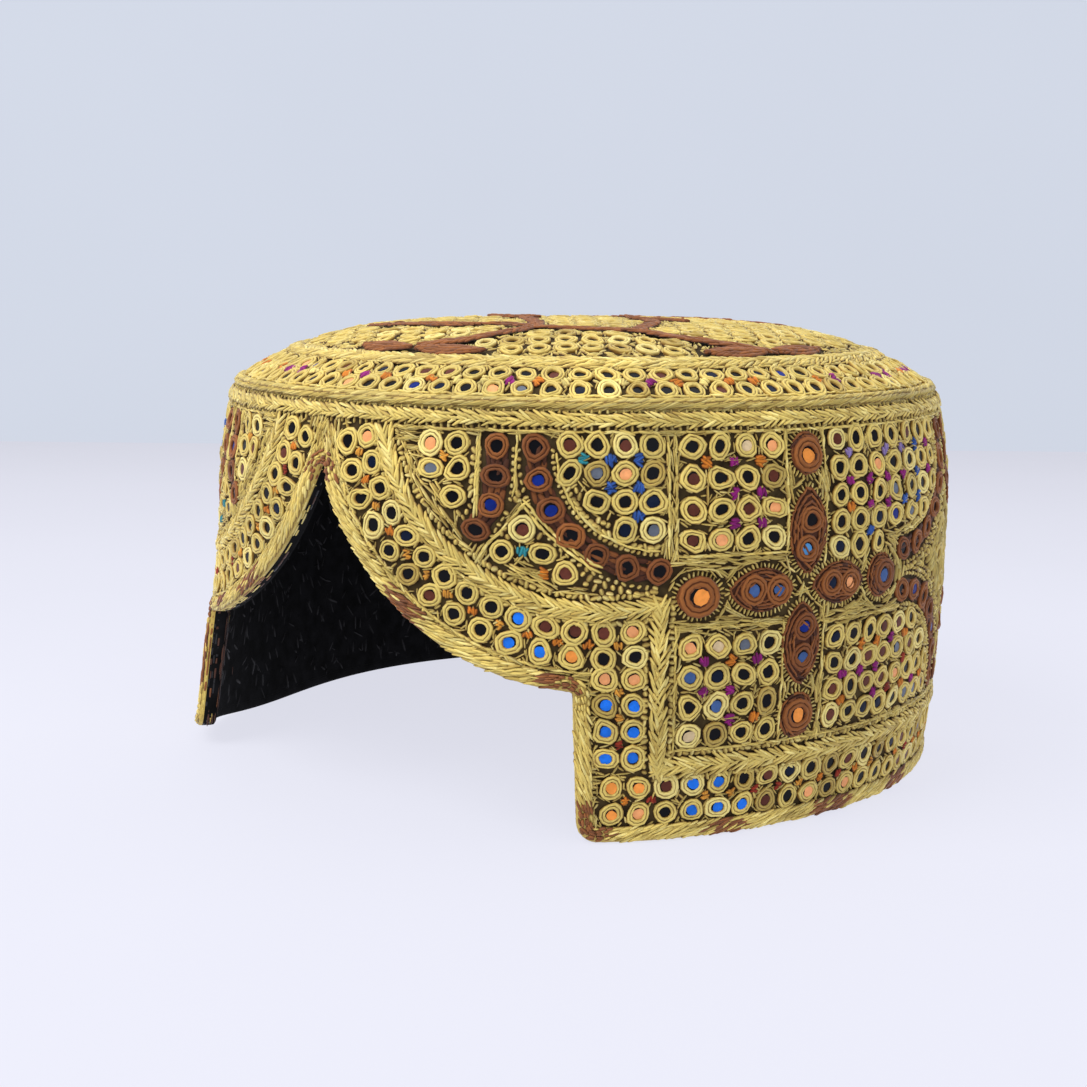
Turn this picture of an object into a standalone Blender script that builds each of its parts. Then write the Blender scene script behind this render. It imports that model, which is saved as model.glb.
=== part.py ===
"""Embroidered sindhi cap: a stiff round wall with an arched front opening, a domed crown and a corded edge.

The frame has +Z up, the opening faces -Y and the origin is the middle of the rim on the ground. Places on
the wall are given in a flat layout: s is the arc length from the middle of the front, positive towards +X,
and z is the height. Places on the crown are plain x and y. A depth or lift is measured outwards from the
cap's outermost surface, so the cloth under the embroidery has a negative one.
"""

import math

import bmesh
import bpy
from mathutils import Vector

MM = 0.001

# The round shape
RIM_RADIUS = 93.0 * MM
RIM_HEIGHT = 97.9 * MM
WALL_BULGE = 3.8 * MM
SHOULDER_DEPTH = 2.65 * MM
SHOULDER_HEIGHT = 6.9 * MM
CROWN_RISE = 14.8 * MM
CROWN_POWER = 4.3
CROWN_RADIUS = RIM_RADIUS - SHOULDER_DEPTH
HALF_GIRTH = math.pi * RIM_RADIUS

# The front flaps stand away from the head, the wearer's right one further than the left one
FLARE_RIGHT = 3.9 * MM
FLARE_LEFT = 13.3 * MM
LIFT_LEFT = 4.5 * MM
FLARE_HEIGHT = 81.6 * MM
FLARE_POWER = 2.5
FLARE_ANGLE = math.radians(37.5)
FLARE_FADE = math.radians(21.2)

# The front opening: two lobes meet in a peak, and each ends in a notch over a straight flap edge
LOBE_CENTRE = (66.6 * MM, 104.0 * MM)
LOBE_RADIUS = 70.0 * MM
PEAK_ROUND = 0.7 * MM
FLAP_EDGE = 60.5 * MM
NOTCH_ROUND = 1.0 * MM
FLAP_CORNER = 4.5 * MM

# Layers, measured outwards from the outermost surface
GAP = 0.3 * MM
CLOTH_TOP = -1.0 * MM
CLOTH_THICKNESS = 2.0 * MM
LINING_TOP = CLOTH_TOP - CLOTH_THICKNESS - GAP
LINING_THICKNESS = 0.8 * MM
TRIM_BASE = CLOTH_TOP + GAP
BRAID_TOP = 0.3 * MM
PAD_TOP = 0.5 * MM
BRAID_SHOULDER = 0.7
PAD_SHOULDER = 0.8 * MM

# The corded edge
BINDING_WIDTH = 4.0 * MM
BINDING_TOP = 0.3 * MM
BINDING_BACK = -4.4 * MM
BINDING_FLAT = 2.6 * MM
CLOTH_INSET = BINDING_WIDTH + GAP

# The seam between wall and crown
RIDGE_RADIUS = 1.7 * MM
RIDGE_RING = 90.6 * MM
RIDGE_HEIGHT = 96.2 * MM
WALL_TOP = 94.2 * MM
CROWN_EDGE = 89.6 * MM
LINING_SHOULDER = 92.0 * MM
LINING_CROWN_EDGE = 88.3 * MM
CROWN_ROWS = [CROWN_EDGE, 85 * MM, 76 * MM, 60 * MM, 35 * MM, 0.0]
LINING_CROWN_ROWS = [LINING_CROWN_EDGE, 78 * MM, 60 * MM, 0.0]

# Braids
RIM_BRAID_HEIGHT = 93.5 * MM
RIM_BRAID_WIDTH = 2.2 * MM
BORDER_BRAID_WIDTH = 4.3 * MM
BORDER_LOBE_RADIUS = 51.7 * MM
BORDER_TOP = 91.0 * MM
BORDER_SIDE = 78.7 * MM
BORDER_LOW = 17.0 * MM
CROWN_RING_RADIUS = 77.0 * MM
CROWN_RING_WIDTH = 3.6 * MM

# Brown motifs
CROSS_PLACES = {"right": 112.8 * MM, "back": HALF_GIRTH, "left": -112.8 * MM}
CROSS_HEIGHT = 56.0 * MM
BEAD_WIDTH = 5.8 * MM
ARC_RADIUS = 26.5 * MM
ARC_OFFSET = 34.3 * MM
ARC_RISE = 31.5 * MM
HOOK_OFFSET = 69.4 * MM
HOOK_STEPS = [(-0.2, 34.4), (-0.3, 28.8), (-0.2, 23.0), (0.6, 18.4), (2.6, 14.8), (5.0, 11.9)]

# Each cross has these pads: name, sideways and upward offset, full width and height in mm, and its form
CROSS_PADS = [
    ("top_round", 0.6, 29.6, 8.2, 9.3, "round"),
    ("upper_leaf", 0.6, 12.5, 10.0, 19.3, "tall leaf"),
    ("lower_leaf", -0.4, -13.0, 10.0, 19.0, "tall leaf"),
    ("bottom_round", -0.5, -29.8, 9.0, 10.3, "round"),
    ("front_round", -25.7, -0.8, 9.4, 8.5, "round"),
    ("front_leaf", -10.8, -0.1, 15.6, 9.7, "wide leaf"),
    ("rear_leaf", 10.0, 0.0, 15.3, 9.5, "wide leaf"),
    ("rear_round", 24.2, 0.0, 9.3, 10.3, "round"),
]

# The crown star turns into itself by half a turn: one arm's tip and elbow on each side of its near line
STAR_TIPS = [(5.5, -70.0), (68.1, -17.0)]
STAR_ELBOWS = [(20.0, -46.0), (42.0, -30.5)]
STAR_LINE_WIDTH = 2.4 * MM
STAR_LINE_BOW = 5.0 * MM
STAR_LINE_START = 4.0 * MM
LEAF_PAIR_RADIUS = 72.2 * MM
LEAF_PAIR_ANGLES = [4.5, 76.0, 184.5, 256.0]
LEAF_LENGTH = 18.0 * MM
LEAF_WIDTH = 3.4 * MM
LEAF_NECK = 0.8 * MM

SHARP_ANGLE = math.radians(35)
ROUND_STEPS = 60
FLAP_STEPS = 23
CROWN_RING_STEPS = 48
BORDER_STEPS = 22
LOWER_ROWS = 2
UPPER_ROWS = 4


def thread_material(name, colour, roughness):
    """A plain finish for one kind of thread or cloth."""
    material = bpy.data.materials.new(name)
    material.use_nodes = True
    shader = material.node_tree.nodes["Principled BSDF"]
    shader.inputs["Base Color"].default_value = (*colour, 1.0)
    shader.inputs["Roughness"].default_value = roughness
    return material


def wall_point(s, z, depth=0.0):
    """The place on the wall for a place in the flat layout."""
    angle = s / RIM_RADIUS
    share = z / RIM_HEIGHT
    into_shoulder = min(max((z - RIM_HEIGHT + SHOULDER_HEIGHT) / SHOULDER_HEIGHT, 0.0), 1.0)
    radius = RIM_RADIUS + 4 * WALL_BULGE * share * (1 - share)
    radius -= SHOULDER_DEPTH * (1 - math.sqrt(1 - into_shoulder ** 2))
    past_flap = max(abs(angle) - FLARE_ANGLE, 0.0) / FLARE_FADE
    strength = math.exp(-past_flap ** 2)
    freedom = min(max(1 - z / FLARE_HEIGHT, 0.0), 1.0)
    flare, lift = (FLARE_LEFT, LIFT_LEFT) if angle < 0 else (FLARE_RIGHT, 0.0)
    radius += flare * strength * freedom ** FLARE_POWER + depth
    height = z + lift * strength ** 2 * freedom
    return Vector((radius * math.sin(angle), -radius * math.cos(angle), height))


def crown_point(x, y, lift=0.0):
    """The place on the crown above x and y, moved off the surface along its normal."""
    radius = math.hypot(x, y)
    share = radius / CROWN_RADIUS
    height = RIM_HEIGHT + CROWN_RISE * (1 - share ** CROWN_POWER)
    slope = CROWN_RISE * CROWN_POWER * share ** (CROWN_POWER - 1) / CROWN_RADIUS
    outward = Vector((x, y, 0.0)).normalized() * slope
    normal = (outward + Vector((0.0, 0.0, 1.0))).normalized()
    return Vector((x, y, height)) + normal * lift


def turned(radius, angle):
    """The x and y at an angle from the front."""
    return radius * math.sin(angle), -radius * math.cos(angle)


def arc(centre, radius, start, end, steps):
    """Points along an arc, ends included; the angles are in radians."""
    angles = [start + (end - start) * k / steps for k in range(steps + 1)]
    return [(centre[0] + radius * math.cos(a), centre[1] + radius * math.sin(a)) for a in angles]


def fillet_below(radius, s):
    """The centre, at layout place s, of a small circle that touches the lobe's arc from outside."""
    reach = LOBE_RADIUS + radius
    return s, LOBE_CENTRE[1] - math.sqrt(reach ** 2 - (LOBE_CENTRE[0] - s) ** 2)


def bearing(start, end):
    """The angle of the line from one layout point to another."""
    return math.atan2(end[1] - start[1], end[0] - start[0])


def opening_edge(inset):
    """The right half of the opening's edge, peak to flap, moved into the cloth by the inset."""
    peak = fillet_below(PEAK_ROUND, 0.0)
    notch = fillet_below(NOTCH_ROUND, FLAP_EDGE - NOTCH_ROUND)
    lobe_start = bearing(peak, LOBE_CENTRE)
    lobe_end = bearing(notch, LOBE_CENTRE)
    points = arc(peak, PEAK_ROUND + inset, math.pi / 2, lobe_start, 2)
    lobe = arc(LOBE_CENTRE, LOBE_RADIUS - inset, math.pi + lobe_start, math.pi + lobe_end, 9)
    points += lobe[1:]
    points += arc(notch, NOTCH_ROUND + inset, lobe_end, 0.0, 3)[1:]
    return points


def flap_edge(inset):
    """The rest of the right half: down the flap, round its corner and along the rim to the back."""
    corner = (FLAP_EDGE + FLAP_CORNER, FLAP_CORNER)
    top = opening_edge(inset)[-1]
    points = [(FLAP_EDGE + inset, (top[1] + corner[1]) / 2)]
    points += arc(corner, FLAP_CORNER - inset, math.pi, 1.5 * math.pi, 3)
    run = HALF_GIRTH - corner[0]
    points += [(corner[0] + run * k / FLAP_STEPS, inset) for k in range(1, FLAP_STEPS + 1)]
    return points


def both_halves(points):
    """A right half that starts at the middle of the front, with its mirror image put before it."""
    return [(-s, z) for s, z in reversed(points[1:])] + points


def grid_sheet(columns, rows, keep=None):
    """A flat sheet of unit squares, one for each column and row that keep names."""
    sheet = bmesh.new()
    bmesh.ops.create_grid(sheet, x_segments=columns, y_segments=rows, size=0.5)
    bmesh.ops.translate(sheet, verts=sheet.verts, vec=(0.5, 0.5, 0.0))
    bmesh.ops.scale(sheet, verts=sheet.verts, vec=(columns, rows, 1.0))
    if keep:
        centres = [(face, face.calc_center_median()) for face in sheet.faces]
        outside = [face for face, centre in centres if not keep(math.floor(centre.x), math.floor(centre.y))]
        bmesh.ops.delete(sheet, geom=outside, context="FACES")
    return sheet


def double_sheet(columns, rows, keep=None, pole=False):
    """The flat sheet with a second layer one unit above it.

    It is left open at its first and last column, which meet, and with a pole also at its last row.
    """
    sheet = grid_sheet(columns, rows, keep)
    grown = bmesh.ops.extrude_face_region(sheet, geom=sheet.faces[:], use_keep_orig=True)
    layer = [item for item in grown["geom"] if isinstance(item, bmesh.types.BMVert)]
    bmesh.ops.translate(sheet, verts=layer, vec=(0.0, 0.0, 1.0))
    seams = []
    for face in sheet.faces:
        centre = face.calc_center_median()
        if round(centre.x, 3) in (0, columns) or pole and round(centre.y, 3) == rows:
            seams.append(face)
    bmesh.ops.delete(sheet, geom=seams, context="FACES")
    return sheet


def wrap(sheet, place):
    """Move the sheet's corner at (column, row, layer) to where place says, and close its seams."""
    for corner in sheet.verts:
        corner.co = place(round(corner.co.x), round(corner.co.y), round(corner.co.z))
    bmesh.ops.remove_doubles(sheet, verts=sheet.verts, dist=0.001 * MM)
    return sheet


def add_piece(name, shape, material, collection):
    """Turn a finished bmesh into a named object."""
    bmesh.ops.recalc_face_normals(shape, faces=shape.faces)
    mesh = bpy.data.meshes.new(name)
    shape.to_mesh(mesh)
    shape.free()
    mesh.materials.append(material)
    mesh.shade_smooth()
    mesh.set_sharp_from_angle(angle=SHARP_ANGLE)
    piece = bpy.data.objects.new(name, mesh)
    collection.objects.link(piece)
    return piece


def wall_columns():
    """The wall's columns across the right half: layout place and height of the cloth's lower end."""
    opening = opening_edge(CLOTH_INSET)
    start = opening[-1][0]
    run = HALF_GIRTH - start
    flap = [(start + run * k / FLAP_STEPS, opening[-1][1]) for k in range(1, FLAP_STEPS + 1)]
    return both_halves(opening + flap), len(opening) - 1


def wall_rows(low):
    """Row heights of one column: from the rim to the notch, then from the opening's edge to the top."""
    notch = opening_edge(CLOTH_INSET)[-1][1]
    lower = [CLOTH_INSET + (notch - CLOTH_INSET) * k / LOWER_ROWS for k in range(LOWER_ROWS)]
    return lower + [low + (WALL_TOP - low) * k / UPPER_ROWS for k in range(UPPER_ROWS + 1)]


def below_opening(columns, reach):
    """A test for the cells of a wall sheet that lie in cloth and not in the front opening."""
    middle = (len(columns) - 1) // 2
    return lambda column, row: row >= LOWER_ROWS or not middle - reach <= column < middle + reach


def side_band(material, collection):
    """The stiff cloth wall under the embroidery."""
    columns, reach = wall_columns()
    heights = [wall_rows(low) for s, low in columns]

    def place(column, row, layer):
        return wall_point(columns[column][0], heights[column][row], CLOTH_TOP - layer * CLOTH_THICKNESS)

    keep = below_opening(columns, reach)
    shape = wrap(double_sheet(len(columns) - 1, LOWER_ROWS + UPPER_ROWS, keep), place)
    return add_piece("side_band", shape, material, collection)


def crown_panel(material, collection):
    """The domed cloth top."""
    def place(column, row, layer):
        x, y = turned(CROWN_ROWS[row], 2 * math.pi * column / ROUND_STEPS)
        return crown_point(x, y, CLOTH_TOP - layer * CLOTH_THICKNESS)

    shape = wrap(double_sheet(ROUND_STEPS, len(CROWN_ROWS) - 1, pole=True), place)
    return add_piece("crown_panel", shape, material, collection)


def lining(material, collection):
    """The black cloth inside: up the wall, over the seam and across the crown."""
    wall = LOWER_ROWS + UPPER_ROWS
    columns, reach = wall_columns()
    heights = [wall_rows(low)[:-1] + [LINING_SHOULDER] for s, low in columns]

    def place(column, row, layer):
        s = columns[column][0]
        depth = LINING_TOP - layer * LINING_THICKNESS
        if row <= wall:
            return wall_point(s, heights[column][row], depth)
        x, y = turned(LINING_CROWN_ROWS[row - wall - 1], s / RIM_RADIUS)
        return crown_point(x, y, depth)

    keep = below_opening(columns, reach)
    shape = wrap(double_sheet(len(columns) - 1, wall + len(LINING_CROWN_ROWS), keep, pole=True), place)
    return add_piece("lining", shape, material, collection)


def edge_binding(material, collection):
    """The corded binding: a six-sided section with a flat foot, led once round the free edge."""
    middle = (BINDING_TOP + BINDING_BACK) / 2
    flat = BINDING_FLAT / 2
    section = [
        (0.0, middle + flat),
        (0.0, middle - flat),
        (BINDING_WIDTH / 2, BINDING_BACK),
        (BINDING_WIDTH, middle - flat),
        (BINDING_WIDTH, middle + flat),
        (BINDING_WIDTH / 2, BINDING_TOP),
    ]
    paths = [both_halves(opening_edge(inset) + flap_edge(inset)) for inset, depth in section]

    def place(station, side, layer):
        side %= len(section)
        s, z = paths[side][station]
        return wall_point(s, z, section[side][1])

    shape = wrap(grid_sheet(len(paths[0]) - 1, len(section)), place)
    return add_piece("edge_binding", shape, material, collection)


def ridge_cord(material, collection):
    """The round cord on the seam between wall and crown."""
    bpy.ops.mesh.primitive_torus_add(
        major_radius=RIDGE_RING,
        minor_radius=RIDGE_RADIUS,
        major_segments=ROUND_STEPS,
        minor_segments=8,
        location=(0.0, 0.0, RIDGE_HEIGHT),
    )
    piece = bpy.context.object
    piece.name = "ridge_cord"
    piece.data.materials.append(material)
    piece.data.shade_smooth()
    for owner in piece.users_collection:
        owner.objects.unlink(piece)
    collection.objects.link(piece)
    return piece


def offset_path(path, closed):
    """For each point of a path, the step sideways that keeps a strip's edges parallel."""
    points = [Vector(point) for point in path]
    steps = []
    for k, point in enumerate(points):
        before = points[k - 1] if k or closed else None
        after = points[(k + 1) % len(points)] if k + 1 < len(points) or closed else None
        runs = [(point - before).normalized()] if before is not None else []
        runs += [(after - point).normalized()] if after is not None else []
        mean = sum(runs, Vector((0.0, 0.0))).normalized()
        steps.append(Vector((-mean.y, mean.x)) / max(mean.dot(runs[0]), 0.3))
    return points, steps


def raised_strip(path, half_widths, shoulder, top, surface, closed=False):
    """A strip with sloping sides that lies on the cloth along a path.

    half_widths has the strip's half width at each point, and shoulder says how far the top is set in.
    """
    points, steps = offset_path(path, closed)
    if closed:
        points, steps, half_widths = points + points[:1], steps + steps[:1], half_widths + half_widths[:1]

    def place(station, side, layer):
        half = half_widths[station]
        narrow = max(half - shoulder, 0.3 * half)
        across, depth = [(half, TRIM_BASE), (narrow, top), (-narrow, top), (-half, TRIM_BASE)][side % 4]
        spot = points[station] + steps[station] * across
        return surface(spot.x, spot.y, depth)

    shape = wrap(grid_sheet(len(points) - 1, 4), place)
    if not closed:
        bmesh.ops.holes_fill(shape, edges=shape.edges, sides=4)
    return shape


def rim_braid(material, collection):
    """The herringbone braid round the wall just under the ridge."""
    path = [(2 * HALF_GIRTH * k / ROUND_STEPS - HALF_GIRTH, RIM_BRAID_HEIGHT) for k in range(ROUND_STEPS + 1)]
    width = RIM_BRAID_WIDTH / 2
    shape = raised_strip(path, [width] * len(path), width * (1 - BRAID_SHOULDER), BRAID_TOP, wall_point)
    return add_piece("rim_braid", shape, material, collection)


def border_braid(material, collection):
    """The braid that runs beside the lobes, down the flaps and round above the rim."""
    high = -math.acos((LOBE_CENTRE[1] - BORDER_TOP) / BORDER_LOBE_RADIUS)
    turn = math.acos((BORDER_SIDE - LOBE_CENTRE[0]) / BORDER_LOBE_RADIUS)
    half = arc(LOBE_CENTRE, BORDER_LOBE_RADIUS, high - math.pi / 2, -turn, 10)
    corner = half[-1][1]
    half += [(BORDER_SIDE, (corner + BORDER_LOW) / 2), (BORDER_SIDE, BORDER_LOW)]
    run = HALF_GIRTH - BORDER_SIDE
    half += [(BORDER_SIDE + run * k / BORDER_STEPS, BORDER_LOW) for k in range(1, BORDER_STEPS + 1)]
    path = half + [(2 * HALF_GIRTH - s, z) for s, z in reversed(half[:-1])]
    width = BORDER_BRAID_WIDTH / 2

    def surface(s, z, depth):
        return wall_point(s if s <= HALF_GIRTH else s - 2 * HALF_GIRTH, z, depth)

    shape = raised_strip(path, [width] * len(path), width * (1 - BRAID_SHOULDER), BRAID_TOP, surface)
    return add_piece("border_braid", shape, material, collection)


def crown_ring(material, collection):
    """The raised ring between the crown's mirror border and its field."""
    path = [turned(CROWN_RING_RADIUS, 2 * math.pi * k / CROWN_RING_STEPS) for k in range(CROWN_RING_STEPS)]
    half = CROWN_RING_WIDTH / 2
    shoulder = half * (1 - BRAID_SHOULDER)
    shape = raised_strip(path, [half] * len(path), shoulder, BRAID_TOP, crown_point, closed=True)
    return add_piece("crown_ring", shape, material, collection)


def pad_half_height(form, place, half_height):
    """Half the height of a pad at a place from -1 to 1 across its width."""
    if form == "round":
        return half_height * math.sqrt(max(1 - place ** 2, 0.12))
    if form == "tall leaf":
        return half_height * math.sqrt(max(1 - abs(place), 0.06))
    return half_height * max(1 - place ** 2, 0.1)


def cross_pads(cross, s, mirrored, material, collection):
    """The eight padded medallions of one cross, mirrored on the wearer's other side."""
    side = -1 if mirrored else 1
    for name, sideways, up, width, height, form in CROSS_PADS:
        places = [-1.0, -0.6, 0.0, 0.6, 1.0] if form == "tall leaf" else [-1.0, -0.75, -0.3, 0.3, 0.75, 1.0]
        middle = s + side * sideways * MM
        path = [(middle + place * width / 2 * MM, CROSS_HEIGHT + up * MM) for place in places]
        half_heights = [pad_half_height(form, place, height / 2 * MM) for place in places]
        shape = raised_strip(path, half_heights, PAD_SHOULDER, PAD_TOP, wall_point)
        add_piece(f"{cross}_{name}", shape, material, collection)


def bead_bands(cross, s, side, level, label, material, collection):
    """The arc and the hook of brown beads on one side of a cross, above or below its arm."""
    centre = (s + side * ARC_OFFSET, CROSS_HEIGHT + level * ARC_RISE)
    outer = 0.0 if side > 0 else math.pi
    inner = -level * math.pi / 2 if side > 0 else math.pi + level * math.pi / 2
    path = arc(centre, ARC_RADIUS, outer, inner, 8)
    width = BEAD_WIDTH / 2
    shape = raised_strip(path, [width] * len(path), PAD_SHOULDER, PAD_TOP, wall_point)
    add_piece(f"{cross}_arc_{label}", shape, material, collection)
    path = [(s + side * (HOOK_OFFSET + out * MM), CROSS_HEIGHT + level * up * MM) for out, up in HOOK_STEPS]
    shape = raised_strip(path, [width] * len(path), PAD_SHOULDER, PAD_TOP, wall_point)
    add_piece(f"{cross}_hook_{label}", shape, material, collection)


def star_line(points, steps):
    """Points along a smooth curve through the given ones, in metres."""
    ends = [points[0], *points, points[-1]]
    path = []
    for k in range(len(points) - 1):
        a, b, c, d = (Vector(point) * MM for point in ends[k:k + 4])
        for step in range(steps):
            t = step / steps
            path.append(0.5 * (2 * b + (c - a) * t + (2 * a - 5 * b + 4 * c - d) * t ** 2
                               + (3 * b - a - 3 * c + d) * t ** 3))
    return path + [Vector(points[-1]) * MM]


def crown_star(material, collection):
    """The brown star: a bowed line across each end, a line along each side, and leaves at its tips."""
    width = STAR_LINE_WIDTH / 2
    for label, turn in (("near", 1), ("far", -1)):
        points = [STAR_TIPS[0], STAR_ELBOWS[0], STAR_ELBOWS[1], STAR_TIPS[1]]
        path = star_line([(turn * x, turn * y) for x, y in points], 4)
        shape = raised_strip(path, [width] * len(path), PAD_SHOULDER / 2, PAD_TOP, crown_point)
        add_piece(f"star_{label}_line", shape, material, collection)
        start = Vector(STAR_ELBOWS[0]) * MM * turn
        end = -Vector(STAR_ELBOWS[1]) * MM * turn
        run = (end - start).normalized()
        start, end = start + run * STAR_LINE_START, end - run * STAR_LINE_START
        bow = -(start + end).normalized() * STAR_LINE_BOW
        path = [start.lerp(end, k / 8) + bow * math.sin(math.pi * k / 8) for k in range(9)]
        shape = raised_strip(path, [width] * len(path), PAD_SHOULDER / 2, PAD_TOP, crown_point)
        add_piece(f"star_{'left' if turn > 0 else 'right'}_line", shape, material, collection)
    for number, degrees in enumerate(LEAF_PAIR_ANGLES, start=1):
        places = [-1.0, -0.75, -0.5, -0.25, 0.0, 0.25, 0.5, 0.75, 1.0]
        turns = [math.radians(degrees) + place * LEAF_LENGTH / LEAF_PAIR_RADIUS for place in places]
        path = [turned(LEAF_PAIR_RADIUS, turn) for turn in turns]
        half_widths = [LEAF_WIDTH / 2 * math.sin(math.pi * abs(place)) + LEAF_NECK for place in places]
        shape = raised_strip(path, half_widths, PAD_SHOULDER, PAD_TOP, crown_point)
        add_piece(f"star_leaves_{number}", shape, material, collection)


def main():
    for old in list(bpy.data.objects):
        bpy.data.objects.remove(old)
    collection = bpy.data.collections.new("sindhi_cap")
    bpy.context.scene.collection.children.link(collection)
    cloth = thread_material("olive_cloth", (0.26, 0.22, 0.09), 0.9)
    gold = thread_material("gold_thread", (0.60, 0.47, 0.15), 0.6)
    brown = thread_material("brown_thread", (0.23, 0.07, 0.02), 0.8)
    black = thread_material("black_lining", (0.01, 0.01, 0.012), 0.95)
    side_band(cloth, collection)
    crown_panel(cloth, collection)
    lining(black, collection)
    edge_binding(gold, collection)
    ridge_cord(gold, collection)
    rim_braid(gold, collection)
    border_braid(gold, collection)
    crown_ring(gold, collection)
    for cross, s in CROSS_PLACES.items():
        cross_pads(cross, s, cross == "left", brown, collection)
        for side in (-1, 1):
            towards_front = side * s < 0
            if cross == "back":
                label = "right" if towards_front else "left"
            else:
                label = "front" if towards_front else "rear"
            bead_bands(cross, s, side, 1, label + "_high", brown, collection)
            if label != "front":
                bead_bands(cross, s, side, -1, label + "_low", brown, collection)
    crown_star(brown, collection)


main()
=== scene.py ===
"""Looks of an embroidered sindhi cap: thread rings round mirrors, braids, brown motifs and a black lining.

Everything on the cap is laid out flat first, in millimetres, and then wrapped onto it. On the wall a spot is
(s, z, depth): s is the arc length from the middle of the front, positive towards +X, z is the height, and
depth is measured outwards from the cap's outermost surface. On the crown a spot is (x, y, lift).
"""

import logging
import math
from dataclasses import dataclass, field
from enum import Enum
from typing import Callable, Iterable, Sequence

import bmesh
import bpy
import numpy as np
from mathutils import Matrix, Vector


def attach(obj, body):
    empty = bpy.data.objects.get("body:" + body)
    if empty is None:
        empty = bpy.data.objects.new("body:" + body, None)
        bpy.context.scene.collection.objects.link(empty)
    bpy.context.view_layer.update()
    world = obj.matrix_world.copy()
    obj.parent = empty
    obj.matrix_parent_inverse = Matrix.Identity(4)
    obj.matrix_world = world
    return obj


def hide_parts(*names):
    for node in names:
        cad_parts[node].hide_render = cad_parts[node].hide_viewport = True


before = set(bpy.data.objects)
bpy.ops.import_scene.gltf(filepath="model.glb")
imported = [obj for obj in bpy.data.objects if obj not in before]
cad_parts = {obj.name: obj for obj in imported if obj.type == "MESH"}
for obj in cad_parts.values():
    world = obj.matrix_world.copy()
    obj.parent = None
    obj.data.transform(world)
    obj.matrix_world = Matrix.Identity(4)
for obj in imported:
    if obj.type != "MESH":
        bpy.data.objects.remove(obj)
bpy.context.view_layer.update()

LOG = logging.getLogger("sindhi_cap")
MM = 0.001
HALF_TURN = math.pi
FULL_TURN = 2 * math.pi
ROOT = "root"

Spots = np.ndarray
Surface = Callable[[Spots], Spots]
Layout = Callable[[np.ndarray, np.ndarray], np.ndarray]
Points = Sequence[tuple[float, float]]


class Thread(Enum):
    """Thread colours, as linear red, green and blue."""

    GOLD = (0.73, 0.560, 0.142)
    PALE_GOLD = (0.86, 0.710, 0.235)
    OLD_GOLD = (0.52, 0.370, 0.080)
    BROWN = (0.215, 0.070, 0.018)
    RUST = (0.29, 0.098, 0.022)
    DARK_BROWN = (0.075, 0.022, 0.008)
    MAGENTA = (0.31, 0.012, 0.20)
    ORANGE = (0.72, 0.23, 0.02)
    AMBER = (0.78, 0.36, 0.045)
    RED = (0.34, 0.035, 0.012)
    BLUE = (0.035, 0.115, 0.44)
    TEAL = (0.03, 0.28, 0.33)
    LILAC = (0.30, 0.22, 0.50)
    BLACK = (0.010, 0.010, 0.012)
    CHARCOAL = (0.024, 0.024, 0.027)


class MirrorReflection(Enum):
    """Mirror colours as they look from the front, as linear red, green and blue: painted reflections of the
    surroundings, mostly dark, since the mirror finish reflects little.
    """

    BLACK = (0.004, 0.004, 0.006)
    UMBER = (0.115, 0.032, 0.020)
    INK = (0.004, 0.010, 0.030)
    BLUE = (0.014, 0.17, 0.78)
    DEEP_BLUE = (0.006, 0.022, 0.20)
    STEEL = (0.055, 0.115, 0.29)
    SKY = (0.09, 0.30, 0.62)
    PEACH = (0.86, 0.37, 0.15)
    ORANGE = (0.88, 0.31, 0.06)
    CREAM = (0.72, 0.55, 0.32)
    GREY = (0.13, 0.15, 0.19)


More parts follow.
